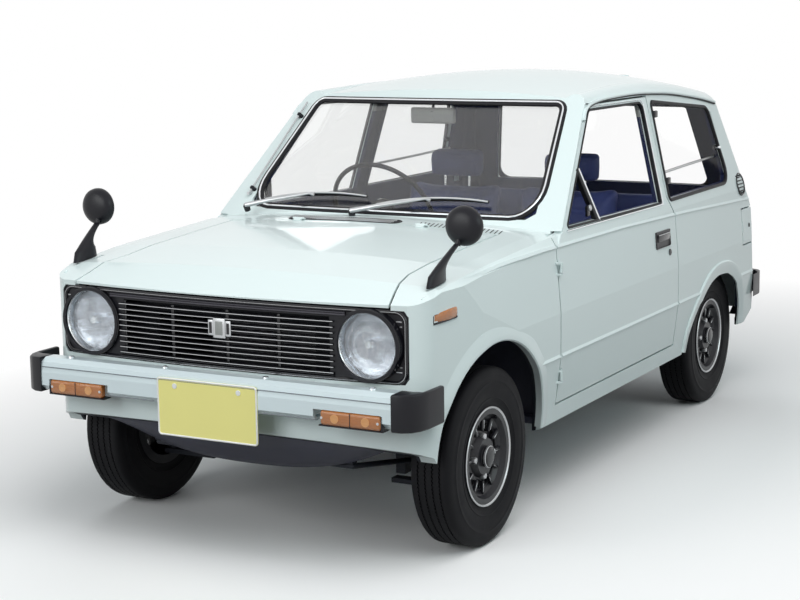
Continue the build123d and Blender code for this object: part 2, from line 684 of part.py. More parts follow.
# ---- panes ----
with BuildPart() as screen_pane:
    add(PANES)
    add(SCREEN_LIGHT, mode=Mode.INTERSECT)
with BuildPart() as rear_side_panes:
    add(PANES)
    add(REAR_LIGHT, mode=Mode.INTERSECT)
    add(mirrored(rear_side_panes.part))
with BuildPart() as fixed_panes:
    add(screen_pane.part)
    add(rear_side_panes.part)
save(fixed_panes, "fixedGlass")
with BuildPart() as door_pane_left:
    add(PANES)
    add(DOOR_LIGHT, mode=Mode.INTERSECT)
save(door_pane_left, "doorGlassLeft")
with BuildPart() as door_pane_right:
    add(mirrored(door_pane_left.part))
save(door_pane_right, "doorGlassRight")
with BuildPart() as gate_pane:
    add(PANES)
    add(GATE_LIGHT, mode=Mode.INTERSECT)
save(gate_pane, "tailgateGlass")

# ---- floor, bulkhead and inner front structure ----
WELL_X = 436.0
WELL_FRONT = 686.0
WELL_BACK = 1314.0
WELL_TOP = 556.0
LOAD_Z = 490.0
STEP_Y = 565.0
TUNNEL_HALF = 96.0
TUNNEL_TOP = 396.0
SHEET = 8.0

LOAD_HALF = BODY_HALF - 0.5 - WALL - 0.1

with BuildPart() as floor:
    with BuildSketch(Plane.XY.offset(LOAD_Z - FLOOR_T)):
        with BuildLine():
            Polyline((-LOAD_HALF, STEP_Y), (LOAD_HALF, STEP_Y), (LOAD_HALF, 1210.0), (520.0, 1250.0),
                     (500.0, 1366.0), (-500.0, 1366.0), (-520.0, 1250.0), (-LOAD_HALF, 1210.0), close=True)
        make_face()
    extrude(amount=FLOOR_T)
    with Locations((0.0, (STEP_Y - 640.0) / 2, FLOOR_Z - 10.0)):
        Box(1190.0, STEP_Y + 640.0, FLOOR_T)
    with Locations((0.0, STEP_Y + SHEET / 2, (LOAD_Z + FLOOR_Z) / 2 - 10.0)):
        Box(1190.0, SHEET, LOAD_Z - FLOOR_Z + 20.0)
    with Locations((0.0, (STEP_Y - 640.0) / 2, (TUNNEL_TOP + FLOOR_Z) / 2)):
        Box(2 * TUNNEL_HALF, STEP_Y + 640.0, TUNNEL_TOP - FLOOR_Z)
    for side in (-1.0, 1.0):
        with Locations((side * (WELL_X + 86.0), (WELL_FRONT + WELL_BACK) / 2, (LOAD_Z + WELL_TOP) / 2)):
            Box(172.0, WELL_BACK - WELL_FRONT, WELL_TOP - LOAD_Z)
        with Locations((side * (WELL_X + 100.0), (WELL_FRONT + WELL_BACK) / 2,
                        (WELL_TOP - SHEET) / 2 + 150.0)):
            Box(184.0, WELL_BACK - WELL_FRONT - 2 * SHEET, WELL_TOP - SHEET - 300.0, mode=Mode.SUBTRACT)
    with Locations((0.0, -40.0, (TUNNEL_TOP - SHEET) / 2 + 120.0)):
        Box(2 * TUNNEL_HALF - 2 * SHEET, 1300.0, TUNNEL_TOP - SHEET - 240.0, mode=Mode.SUBTRACT)

BULKHEAD_Y = -600.0
with BuildPart() as bulkhead:
    with Locations((0.0, BULKHEAD_Y, 545.0)):
        Box(1190.0, SHEET, 510.0)
    with Locations((0.0, BULKHEAD_Y, 340.0)):
        Box(2 * TUNNEL_HALF, 40.0, 2 * (TUNNEL_TOP - 340.0), mode=Mode.SUBTRACT)
with BuildPart() as floor_whole:
    add(floor.part)
    add(bulkhead.part)
save(floor_whole, "floor")

RAIL_X = 322.0
RAIL_Z = 360.0
SUPPORT_Y = -1330.0
with BuildPart() as front_frame:
    for side in (-1.0, 1.0):
        with Locations((side * RAIL_X, (SUPPORT_Y + BULKHEAD_Y - SHEET / 2) / 2, RAIL_Z)):
            Box(40.0, BULKHEAD_Y - SHEET / 2 - SUPPORT_Y, 60.0)
        with Locations((side * (RAIL_X - 16.0), (SUPPORT_Y + BULKHEAD_Y - SHEET / 2) / 2, 540.0)):
            Box(SHEET, BULKHEAD_Y - SHEET / 2 - SUPPORT_Y, 320.0)
        with Locations((side * (RAIL_X + 60.0), -1010.0, 690.0)):
            Box(170.0, 150.0, SHEET)
        with Locations((side * (RAIL_X + 30.0), -1010.0, 262.0)):
            Box(30.0, 60.0, 150.0)
    with Locations((0.0, -1010.0, 262.0)):
        Box(2 * RAIL_X + 60.0, 60.0, 36.0)
    with Locations((0.0, SUPPORT_Y - 4.0, 530.0)):
        Box(1120.0, SHEET, 350.0)
    with Locations((0.0, SUPPORT_Y - 4.0, 590.0)):
        Box(520.0, 40.0, 150.0, mode=Mode.SUBTRACT)
save(front_frame, "frontFrame")

with BuildPart() as engine:
    with Locations((0.0, -960.0, 465.0)):
        Box(400.0, 420.0, 370.0)
    with Locations((0.0, -640.0, 334.0)):
        Box(150.0, 220.0, 90.0)
save(engine, "engine")

# ---- running gear ----
HUB_LEN = 46.0
BEAD = 15.6


def tyre_at(x, y):
    half = TYRE_W / 2
    with BuildPart() as made:
        with BuildSketch(Plane.XY):
            with BuildLine():
                Polyline((-half + 16.0, TYRE_R), (half - 16.0, TYRE_R), (half - 3.0, TYRE_R - 14.0),
                         (half, TYRE_R - 52.0), (RIM_W / 2, RIM_R + 6.0), (RIM_W / 2, RIM_R - BEAD),
                         (-RIM_W / 2, RIM_R - BEAD), (-RIM_W / 2, RIM_R + 6.0), (-half, TYRE_R - 52.0),
                         (3.0 - half, TYRE_R - 14.0), close=True)
            make_face()
        revolve(axis=Axis.X)
    return made.part.moved(Location((x, y, TYRE_R)))


def rim_at(x, y, side):
    """Steel wheel: flanged rim, dished disc with slots, hub bore on the spindle."""
    half = RIM_W / 2
    lip = RIM_R - 16.0
    with BuildPart() as made:
        with BuildSketch(Plane.XY):
            with BuildLine():
                Polyline((half, RIM_R), (half + 2.0, RIM_R), (half + 2.0, RIM_R - 22.0), (half - 14.0,
                                        RIM_R - 30.0),
                         (half - 30.0, 92.0), (half - 24.0, 62.0), (half - 6.0, 52.0), (half - 6.0, 30.0),
                         (half + 4.0, 26.0), (half + 4.0, SPINDLE_R + RUNNING_FIT),
                         (half - HUB_LEN, SPINDLE_R + RUNNING_FIT), (half - HUB_LEN, 40.0),
                         (half - 34.0, 60.0),
                         (half - 38.0, 94.0), (half - 38.0, RIM_R - 32.0), (-half, RIM_R - 26.0),
                         (-half - 2.0, RIM_R - 26.0), (-half - 2.0, RIM_R), (-half, RIM_R),
                         (-half, lip), (half, lip), close=True)
            make_face()
        revolve(axis=Axis.X)
        with BuildSketch(Plane.YZ.offset(-half)):
            with PolarLocations(84.0, 12):
                SlotOverall(26.0, 11.0)
        extrude(amount=2 * half, mode=Mode.SUBTRACT)
    turned = made.part if side > 0 else made.part.mirror(Plane.YZ)
    return turned.moved(Location((x, y, TYRE_R)))


WHEELS = (
    ("FrontLeft", 1.0, FRONT_TRACK_HALF, -AXLE_Y),
    ("FrontRight", -1.0, FRONT_TRACK_HALF, -AXLE_Y),
    ("RearLeft", 1.0, REAR_TRACK_HALF, AXLE_Y),
    ("RearRight", -1.0, REAR_TRACK_HALF, AXLE_Y),
)
for corner, side, track, y in WHEELS:
    tyre = tyre_at(side * track, y)
    tyre.label = f"tyre{corner}"
    export_step(tyre, f"parts/tyre{corner}.step")
    rim = rim_at(side * track, y, side)
    rim.label = f"rim{corner}"
    export_step(rim, f"parts/rim{corner}.step")

with BuildPart() as knuckle_left:
    with Locations((KINGPIN_X, -AXLE_Y, TYRE_R)):
        Cylinder(26.0, 130.0)
    with Locations(Location((KINGPIN_X + 20.0 + (FRONT_TRACK_HALF - KINGPIN_X + 40.0 - 20.0) / 2,
                             -AXLE_Y, TYRE_R), (0, 90, 0))):
        Cylinder(SPINDLE_R, FRONT_TRACK_HALF - KINGPIN_X + 40.0 - 20.0)
    with Locations((KINGPIN_X - 8.0, -AXLE_Y + 60.0, TYRE_R - 40.0)):
        Box(16.0, 100.0, 14.0)
    with Locations((KINGPIN_X, -AXLE_Y, TYRE_R)):
        Cylinder(KINGPIN_R + RUNNING_FIT, 400.0, mode=Mode.SUBTRACT)
save(knuckle_left, "knuckleLeft")
with BuildPart() as knuckle_right:
    add(mirrored(knuckle_left.part))
save(knuckle_right, "knuckleRight")

with BuildPart() as front_arms:
    for side in (-1.0, 1.0):
        with Locations((side * KINGPIN_X, -AXLE_Y, TYRE_R)):
            Cylinder(KINGPIN_R, 210.0)
        with Locations((side * (RAIL_X + KINGPIN_X + 10.0) / 2, -AXLE_Y - 6.0, TYRE_R - 98.0)):
            Box(KINGPIN_X - RAIL_X + 30.0, 34.0, 14.0)
        with Locations((side * (RAIL_X + KINGPIN_X + 10.0) / 2, -AXLE_Y - 6.0, TYRE_R + 98.0)):
            Box(KINGPIN_X - RAIL_X + 30.0, 34.0, 14.0)

with BuildPart() as sway_bar:
    with BuildLine():
        Polyline((-400.0, -1050.0, 236.0), (-330.0, -1270.0, 262.0), (330.0, -1270.0, 262.0), (400.0,
                                        -1050.0, 236.0))
    with BuildSketch(Plane(origin=(-400.0, -1050.0, 236.0), z_dir=(70.0, -220.0, 26.0))):
        Circle(8.0)
    sweep(transition=Transition.ROUND)
    for side in (-1.0, 1.0):
        with Locations((side * RAIL_X, -1270.0, 300.0)):
            Box(26.0, 26.0, 60.0)
with BuildPart() as front_links:
    add(front_arms.part)
    add(sway_bar.part)
    add(front_frame.part, mode=Mode.SUBTRACT)
save(front_links, "frontArms")

SPRING_X = 372.0
with BuildPart() as rear_axle:
    with Locations(Location((0.0, AXLE_Y, TYRE_R), (0, 90, 0))):
        Cylinder(32.0, 2 * (REAR_TRACK_HALF - 72.0))
        Cylinder(SPINDLE_R, 2 * (REAR_TRACK_HALF + 58.0))
        Cylinder(92.0, 150.0)
    with Locations((0.0, AXLE_Y - 100.0, 290.0)):
        Box(80.0, 60.0, 60.0)
    for side in (-1.0, 1.0):
        with Locations((side * SPRING_X, AXLE_Y, TYRE_R + 20.0)):
            Box(60.0, 70.0, 30.0)

SPRING_Z = TYRE_R + 35.0
with BuildPart() as leaf_springs:
    for side in (-1.0, 1.0):
        with Locations((side * SPRING_X, 940.0, SPRING_Z + 10.0)):
            Box(50.0, 714.0, 20.0)
        with Locations((side * SPRING_X, 602.0, (SPRING_Z + 20.0 + LOAD_Z - FLOOR_T) / 2)):
            Box(50.0, 40.0, LOAD_Z - FLOOR_T - SPRING_Z - 20.0)
        with Locations((side * SPRING_X, 1270.0, (SPRING_Z + 20.0 + LOAD_Z - FLOOR_T) / 2)):
            Box(50.0, 40.0, LOAD_Z - FLOOR_T - SPRING_Z - 20.0)

with BuildPart() as prop_shaft:
    with Locations(Location((0.0, 170.0, 300.0), (90, 0, 0))):
        Cylinder(24.0, 1400.0)
with BuildPart() as rear_drive:
    add(rear_axle.part)
    add(leaf_springs.part)
    add(prop_shaft.part)
    add(engine.part, mode=Mode.SUBTRACT)
save(rear_drive, "rearAxle")

with BuildPart() as tank:
    with Locations((-190.0, 1245.0, (LOAD_Z - FLOOR_T + 330.0) / 2)):
        Box(280.0, 200.0, LOAD_Z - FLOOR_T - 330.0)
    fillet(tank.part.edges().filter_by(Axis.Z), 30.0)
save(tank, "fuelTank")

with BuildPart() as exhaust:
    with BuildLine():
        Polyline((180.0, -560.0, 244.0), (180.0, 610.0, 244.0), (180.0, 790.0, 350.0), (180.0, 1300.0,
                                        350.0),
                 (180.0, 1366.0, 284.0), (180.0, 1470.0, 284.0))
    with BuildSketch(Plane(origin=(180.0, -560.0, 244.0), z_dir=(0.0, 1.0, 0.0))):
        Circle(17.0)
    sweep(transition=Transition.ROUND)
    with Locations(Location((180.0, 1240.0, 350.0), (90, 0, 0))):
        Cylinder(52.0, 230.0)
    with Locations((180.0, 1240.0, 436.0)):
        Box(20.0, 60.0, 2 * (LOAD_Z - FLOOR_T - 436.0))
    with Locations((180.0, 1240.0, 400.0)):
        Box(20.0, 60.0, 20.0)
    with Locations((180.0, -300.0, 262.0)):
        Box(20.0, 40.0, 16.0)
save(exhaust, "exhaust")

# ---- cabin ----
DASH_HALF = 545.0
with BuildPart() as dashboard:
    with BuildSketch(Plane.YZ):
        with BuildLine():
            Polyline((BULKHEAD_Y + SHEET / 2, 640.0), (BULKHEAD_Y + SHEET / 2, 780.0), (-430.0, 802.0),
                     (-345.0, 796.0), (-320.0, 770.0), (-345.0, 660.0), (-400.0, 630.0), close=True)
        make_face()
    extrude(amount=DASH_HALF, both=True)

WHEEL_CENTRE = (-262.0, -26.0, 812.0)
WHEEL_TILT = 28.0
WHEEL_R = 190.0
COLUMN_R = 12.0
WHEEL_PLANE = Plane(origin=WHEEL_CENTRE, x_dir=(1, 0, 0),
                    z_dir=(0.0, math.cos(math.radians(WHEEL_TILT)), math.sin(math.radians(WHEEL_TILT))))
with BuildPart() as column:
    with BuildSketch(WHEEL_PLANE.offset(-345.0)):
        Circle(COLUMN_R)
    extrude(amount=342.0)
    with BuildSketch(WHEEL_PLANE.offset(-345.0)):
        Circle(30.0)
    extrude(amount=270.0)
with BuildPart() as dash_whole:
    add(dashboard.part)
    add(column.part)
    with Locations((0.0, BULKHEAD_Y - 150.0, 600.0)):
        Box(1200.0, 300.0 + SHEET, 600.0, mode=Mode.SUBTRACT)
save(dash_whole, "dashboard")

with BuildPart() as steering_wheel:
    with Locations(WHEEL_PLANE.location):
        Torus(WHEEL_R, 8.0)
    with BuildSketch(WHEEL_PLANE.offset(-14.0)):
        Rectangle(2 * WHEEL_R - 10.0, 26.0)
    extrude(amount=12.0)
    with BuildSketch(WHEEL_PLANE.offset(-40.0)):
        Circle(36.0)
    extrude(amount=52.0)
    with BuildSketch(WHEEL_PLANE.offset(-60.0)):
        Circle(COLUMN_R + RUNNING_FIT)
    extrude(amount=57.1, mode=Mode.SUBTRACT)
save(steering_wheel, "steeringWheel")

SEAT_X = 232.0
with BuildPart() as seat_left:
    with BuildSketch(Plane.YZ.offset(SEAT_X - 205.0)):
        with BuildLine():
            Polyline((-60.0, 440.0), (-70.0, 545.0), (-40.0, 568.0), (330.0, 540.0), (440.0, 868.0),
                     (470.0, 880.0),
                     (520.0, 868.0), (450.0, 560.0), (420.0, 430.0), (380.0, 420.0), close=True)
        make_face()
    extrude(amount=410.0)
    fillet(seat_left.part.edges().filter_by(Axis.X, reverse=True), 12.0)
    with Locations((SEAT_X + 20.0, 178.0, 356.0)):
        Box(280.0, 380.0, 2 * (356.0 - FLOOR_Z))
    with Locations((SEAT_X, 486.0, 936.0)):
        Box(215.0, 72.0, 104.0)
    with Locations((SEAT_X - 50.0, 486.0, 880.0), (SEAT_X + 50.0, 486.0, 880.0)):
        Box(12.0, 12.0, 60.0)
with BuildPart() as front_seats:
    add(seat_left.part)
    add(mirrored(seat_left.part))
save(front_seats, "frontSeats")

with BuildPart() as rear_seat:
    with Locations((0.0, 800.0, LOAD_Z + 40.0)):
        Box(840.0, 400.0, 80.0)
    with Locations((0.0, 1000.0, LOAD_Z + 150.0)):
        Box(840.0, 60.0, 300.0)
    fillet(rear_seat.part.edges().filter_by(Axis.Z), 12.0)
save(rear_seat, "rearSeat")

with BuildPart() as inner_mirror:
    with Locations((-43.0, -62.0, 1149.0)):
        Box(168.0, 16.0, 54.0)
    with Locations((-43.0, -50.0, 1195.0)):
        Box(10.0, 10.0, 70.0)
    add(roof.part, mode=Mode.SUBTRACT)
save(inner_mirror, "interiorMirror")

# ---- nose fittings ----
LAMP_X = 457.0
LAMP_Z = 634.0
LAMP_R = 89.0
BEZEL_R = 98.0
with BuildPart() as grille:
    with BuildSketch(Plane.XY.offset(500.0)):
        with BuildLine():
            ThreePointArc((-580.0, NOSE_CORNER_Y + 6.0), (0.0, NOSE_Y + 6.0), (580.0, NOSE_CORNER_Y + 6.0))
            Line((580.0, NOSE_CORNER_Y + 6.0), (580.0, NOSE_CORNER_Y + 22.0))
            ThreePointArc((580.0, NOSE_CORNER_Y + 22.0), (0.0, NOSE_Y + 22.0), (-580.0,
                                        NOSE_CORNER_Y + 22.0))
            Line((-580.0, NOSE_CORNER_Y + 22.0), (-580.0, NOSE_CORNER_Y + 6.0))
        make_face()
    extrude(amount=300.0)
    add(GRILLE_SPACE, mode=Mode.INTERSECT)
    with BuildSketch(Plane.XZ.offset(1340.0)):
        with Locations((0.0, 622.0)):
            with GridLocations(0.0, 15.5, 1, 11):
                Rectangle(680.0, 9.5)
    extrude(amount=120.0, mode=Mode.SUBTRACT)
    with BuildSketch(Plane.XZ.offset(1340.0)):
        with Locations((-LAMP_X, LAMP_Z), (LAMP_X, LAMP_Z)):
            Circle(BEZEL_R - 1.0)
    extrude(amount=120.0, mode=Mode.SUBTRACT)

with BuildPart() as bezels:
    with BuildSketch(Plane.XZ.offset(1338.0)):
        with Locations((-LAMP_X, LAMP_Z), (LAMP_X, LAMP_Z)):
            Circle(BEZEL_R)
    extrude(amount=70.0)
    with BuildSketch(Plane.XZ.offset(1360.0)):
        with Locations((-LAMP_X, LAMP_Z), (LAMP_X, LAMP_Z)):
            Circle(LAMP_R)
    extrude(amount=70.0, mode=Mode.SUBTRACT)
with BuildPart() as grille_whole:
    add(grille.part)
    add(bezels.part)
save(grille_whole, "grille")

with BuildPart() as lenses:
    with BuildSketch(Plane.XZ.offset(1360.0)):
        with Locations((-LAMP_X, LAMP_Z), (LAMP_X, LAMP_Z)):
            Circle(LAMP_R - 0.4)
    extrude(amount=26.0)
save(lenses, "headlamps")

BUMPER_FACE = -END_Y
PLATE_BOLT_Z = 471.0
with BuildPart() as front_bumper:
    with BuildSketch(Plane.YZ.offset(-576.0)):
        with BuildLine():
            Polyline((-1430.0, 437.0), (-1472.0, 437.0), (-1488.0, 452.0), (BUMPER_FACE + 4.0, 490.0),
                     (-1484.0, 520.0), (-1466.0, 531.0), (-1430.0, 531.0), (-1430.0, 523.0), (-1464.0,
                                        523.0),
                     (-1478.0, 514.0), (-1480.0, 490.0), (-1480.0, 456.0), (-1468.0, 445.0), (-1430.0,
                                        445.0),
                     close=True)
        make_face()
    extrude(amount=1152.0)
    with Locations((-330.0, -1456.0, 483.0), (330.0, -1456.0, 483.0)):
        Box(50.0, 50.0, 60.0)
    add(BUMPER_STAYS)
    with Locations((-442.0, -1460.0, 451.0), (442.0, -1460.0, 451.0)):
        Box(206.0, 80.0, 42.0, mode=Mode.SUBTRACT)
    for spacing in (-105.0, 105.0):
        with Locations((spacing, -1480.0, PLATE_BOLT_Z)):
            Cylinder(3.2, 60.0, rotation=(90, 0, 0), mode=Mode.SUBTRACT)
save(front_bumper, "frontBumper")

with BuildPart() as turn_lamps:
    with Locations((-442.0, -1465.0, 451.0), (442.0, -1465.0, 451.0)):
        Box(206.0, 50.0, 42.0)
    add(front_bumper.part, mode=Mode.SUBTRACT)
    with Locations((-330.0, -1460.0, 451.0), (330.0, -1460.0, 451.0)):
        Box(60.0, 90.0, 60.0, mode=Mode.SUBTRACT)
with BuildPart() as lamps_amber:
    add(turn_lamps.part)
    add(MARKERS)
save(lamps_amber, "amberLamps")

CAP_END_Y = -1330.0
with BuildPart() as front_caps:
    with BuildSketch(Plane.XY.offset(430.0)):
        with BuildLine():
            Polyline((576.0, -1428.0), (576.0, BUMPER_FACE), (BODY_HALF - 36.0, BUMPER_FACE),
                     (BODY_HALF - 8.0, -1474.0), (BODY_HALF + 2.0, -1440.0), (BODY_HALF + 2.0, CAP_END_Y),
                     (BODY_HALF - 14.0, CAP_END_Y), (BODY_HALF - 14.0, -1428.0), close=True)
        make_face()
    extrude(amount=104.0)
    add(mirrored(front_caps.part))

REAR_FACE = END_Y
with BuildPart() as rear_bumper:
    with BuildSketch(Plane.YZ.offset(-560.0)):
        with BuildLine():
            Polyline((1460.0, 376.0), (1478.0, 376.0), (1490.0, 388.0), (REAR_FACE, 412.0), (1490.0, 436.0),
                     (1478.0, 448.0), (1460.0, 448.0), close=True)
        make_face()
    extrude(amount=1120.0)
    with Locations((-330.0, 1462.0, 412.0), (330.0, 1462.0, 412.0)):
        Box(50.0, 20.0, 50.0)
    add(REAR_STAYS)
save(rear_bumper, "rearBumper")

with BuildPart() as rear_caps:
    with BuildSketch(Plane.XY.offset(362.0)):
        with BuildLine():
            Polyline((560.0, 1455.0), (560.0, REAR_FACE), (BODY_HALF - 48.0, REAR_FACE),
                     (BODY_HALF - 8.0, 1460.0), (BODY_HALF + 4.0, 1420.0), (BODY_HALF + 4.0, 1330.0),
                     (BODY_HALF + 2.0, 1330.0), (BODY_HALF + 2.0, 1400.0),
                     (BODY_HALF - 28.0, 1455.0), close=True)
        make_face()
    extrude(amount=90.0)
    add(mirrored(rear_caps.part))
with BuildPart() as bumper_caps:
    add(front_caps.part)
    add(rear_caps.part)
save(bumper_caps, "bumperCaps")

with BuildPart() as tail_lamps:
    add(TAIL_LAMPS)
save(tail_lamps, "tailLamps")

with BuildPart() as plates:
    with Locations((0.0, BUMPER_FACE + 3.0, 432.0)):
        Box(330.0, 2.0, 164.0)
    for spacing in (-105.0, 105.0):
        with Locations((spacing, BUMPER_FACE, PLATE_BOLT_Z)):
            Cylinder(3.2, 60.0, rotation=(90, 0, 0), mode=Mode.SUBTRACT)
save(plates, "plateFront")

with BuildPart() as handles:
    add(HANDLES)
save(handles, "handleLeft")
with BuildPart() as handle_right:
    add(mirrored(HANDLES))
save(handle_right, "handleRight")

with BuildPart() as vents:
    add(VENTS)
save(vents, "pillarVents")

with BuildPart() as wing_mirrors:
    with BuildSketch(Plane.YZ.offset(559.0)):
        with BuildLine():
            Polyline((-1262.0, 798.0), (-1200.0, 800.0), (-1170.0, 880.0), (-1146.0, 920.0), (-1160.0,
                                        930.0),
                     (-1196.0, 880.0), close=True)
        make_face()
    extrude(amount=14.0)
    with Locations(Location((618.0, -1150.0, 931.0), (90, 0, 0))):
        Cylinder(55.0, 26.0)
    add(MIRROR_PEGS)
    with Locations((-566.0, -1230.0, 778.0)):
        Box(30.0, 100.0, 80.0, mode=Mode.SUBTRACT)
    add(mirrored(wing_mirrors.part))
save(wing_mirrors, "wingMirrors")

with BuildPart() as wipers:
    add(WIPER_PEGS)
    for x_from, reach in ((-487.0, 300.0), (-83.0, 300.0)):
        with Locations((x_from + reach / 2, -541.0, 881.0)):
            Box(reach + 14.0, 6.0, 6.0)
        with Locations((x_from + 340.0, -537.0, 887.0)):
            Box(400.0, 6.0, 12.0)
save(wipers, "wipers")

with BuildPart() as antenna:
    add(ANTENNA_PEGS)
    with BuildLine():
        Line((-538.0, -456.0, 905.0), (-496.0, -139.0, 1193.0))
    with BuildSketch(Plane(origin=(-538.0, -456.0, 905.0), z_dir=(42.0, 317.0, 288.0))):
        Circle(3.0)
    sweep()
save(antenna, "antenna")
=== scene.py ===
import bpy
import bmesh
import json
import math
from mathutils import Vector, Matrix, Euler


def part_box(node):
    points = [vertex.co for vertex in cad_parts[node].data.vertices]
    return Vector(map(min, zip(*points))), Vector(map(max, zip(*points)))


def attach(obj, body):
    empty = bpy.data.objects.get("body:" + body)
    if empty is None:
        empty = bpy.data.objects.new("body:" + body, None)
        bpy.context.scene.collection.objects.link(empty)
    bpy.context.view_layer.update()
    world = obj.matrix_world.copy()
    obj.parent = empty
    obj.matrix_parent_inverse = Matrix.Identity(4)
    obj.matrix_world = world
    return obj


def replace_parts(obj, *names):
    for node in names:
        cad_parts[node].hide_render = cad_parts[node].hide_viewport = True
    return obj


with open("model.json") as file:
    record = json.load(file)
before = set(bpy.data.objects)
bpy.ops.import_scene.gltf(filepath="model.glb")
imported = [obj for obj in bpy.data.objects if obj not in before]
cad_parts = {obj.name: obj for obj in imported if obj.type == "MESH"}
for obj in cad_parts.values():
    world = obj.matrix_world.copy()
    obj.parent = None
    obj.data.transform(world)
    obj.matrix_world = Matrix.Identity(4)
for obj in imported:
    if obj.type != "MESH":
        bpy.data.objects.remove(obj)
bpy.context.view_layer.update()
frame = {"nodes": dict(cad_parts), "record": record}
nodes = frame["nodes"]
print("frame loaded", len(nodes))

sides = ((1, "Left"), (-1, "Right"))  # +X is the car's left
palette = {
    "paint": (0.735, 0.832, 0.83),
    "lining": (0.014, 0.02, 0.062),  # door and pillar trim
    "headlining": (0.26, 0.27, 0.26),
    "underseal": (0.012, 0.014, 0.02),
    "rubber": (0.006, 0.006, 0.008),
    "plastic": (0.006, 0.006, 0.009),
    "vinyl": (0.042, 0.058, 0.18),
    "chrome": (0.82, 0.84, 0.86),
    "bumper": (0.62, 0.72, 0.75),
    "wheel": (0.01, 0.01, 0.013),
    "tread": (0.004, 0.004, 0.0052),
    "amber": (0.6, 0.2, 0.035),
    "red": (0.42, 0.006, 0.01),
    "plate": (0.9, 0.84, 0.3),
    "dash": (0.125, 0.115, 0.11),
}
# short names of the shader's inputs
inputOf = {"specular": "Specular IOR Level", "coat": "Coat Weight", "coatRough": "Coat Roughness",
           "metal": "Metallic", "rough": "Roughness", "through": "Transmission Weight", "ior": "IOR",
           "alpha": "Alpha"}


class Sum:
    # a value inside a node tree, written as plain arithmetic
    def __init__(self, tree, socket):
        self.tree = tree
        self.socket = socket

    def by(self, operation, other=None, clamp=False):
        return maths(self.tree, operation, self, other, clamp)

    def less(self, start):
        # start minus this value
        return maths(self.tree, "SUBTRACT", start, self)

    def __add__(self, other):
        return self.by("ADD", other)

    def __sub__(self, other):
        return self.by("SUBTRACT", other)

    def __mul__(self, other):
        return self.by("MULTIPLY", other)

    def __truediv__(self, other):
        return self.by("DIVIDE", other)

    def __pow__(self, other):
        return self.by("POWER", other)

    def __gt__(self, other):
        return self.by("GREATER_THAN", other)

    def __lt__(self, other):
        return self.by("LESS_THAN", other)

    def to(self, socket):
        self.tree.links.new(self.socket, socket)


def maths(tree, operation, first, second=None, clamp=False):
    node = tree.nodes.new("ShaderNodeMath")
    node.operation = operation
    node.use_clamp = clamp
    for slot, value in enumerate((first, second)):
        if isinstance(value, Sum):
            value.to(node.inputs[slot])
        elif value is not None:
            node.inputs[slot].default_value = value
    return Sum(tree, node.outputs[0])


def added(tree, kind, **values):
    # new node with some of its inputs set or joined
    node = tree.nodes.new(kind)
    for name, value in values.items():
        socket = node.inputs[name.replace("_", " ")]
        if isinstance(value, Sum):
            value.to(socket)
        elif isinstance(value, bpy.types.NodeSocket):
            tree.links.new(value, socket)
        else:
            socket.default_value = value
    return node


def placeIn(tree):
    # X, Y and Z of the shaded point in the object's own frame
    spot = added(tree, "ShaderNodeTexCoord")
    split = added(tree, "ShaderNodeSeparateXYZ", Vector=spot.outputs["Object"])
    return [Sum(tree, split.outputs[k]) for k in range(3)]


def socketsOf(group, ins, outs):
    for name, kind, value in ins:
        made = group.interface.new_socket(name, in_out="INPUT", socket_type=kind)
        if value is not None:
            made.default_value = value
    for name, kind in outs:
        group.interface.new_socket(name, in_out="OUTPUT", socket_type=kind)
    return group.nodes.new("NodeGroupInput"), group.nodes.new("NodeGroupOutput")


def lookup(value, rows):
    # straight-line table of value against place, given as (from, to) rows
    low, span = rows[0][0], rows[-1][0] - rows[0][0]
    node = value.tree.nodes.new("ShaderNodeFloatCurve")
    curve = node.mapping.curves[0]
    node.mapping.use_clip = False
    node.mapping.extend = "HORIZONTAL"
    for k, (a, b) in enumerate(rows):
        spot = ((a - low) / span, b)
        if k < 2:
            curve.points[k].location = spot
        else:
            curve.points.new(*spot)
    for point in curve.points:
        point.handle_type = "VECTOR"
    node.mapping.update()
    ((value - low) / span).to(node.inputs["Value"])
    return Sum(value.tree, node.outputs[0])


def grainGroup():
    # tone and roughness drift with a fine surface height
    group = bpy.data.node_groups.new("grain", "ShaderNodeTree")
    number = "NodeSocketFloat"
    entry, leave = socketsOf(group, [
        ("Colour", "NodeSocketColor", (0.5, 0.5, 0.5, 1)), ("Tone", number, 0.1), ("Roughness", number, 0.5),
        ("Drift", number, 0.1), ("Patch", number, 9.0), ("Fine", number, 400.0)],
        [("Colour", "NodeSocketColor"), ("Roughness", number), ("Height", number)])
    spot = group.nodes.new("ShaderNodeTexCoord").outputs["Object"]
    patch = added(group, "ShaderNodeTexNoise", Vector=spot, Scale=entry.outputs["Patch"], Detail=4.0)
    fine = added(group, "ShaderNodeTexNoise", Vector=spot, Scale=entry.outputs["Fine"], Detail=2.0)
    centred = Sum(group, patch.outputs[0]) - 0.5
    tint = group.nodes.new("ShaderNodeVectorMath")
    tint.operation = "SCALE"
    group.links.new(entry.outputs["Colour"], tint.inputs[0])
    (centred * Sum(group, entry.outputs["Tone"]) + 1.0).to(tint.inputs["Scale"])
    drift = centred * Sum(group, entry.outputs["Drift"])
    drift.by("ADD", Sum(group, entry.outputs["Roughness"]), True).to(leave.inputs["Roughness"])
    group.links.new(tint.outputs[0], leave.inputs["Colour"])
    group.links.new(fine.outputs[0], leave.inputs["Height"])
    return group


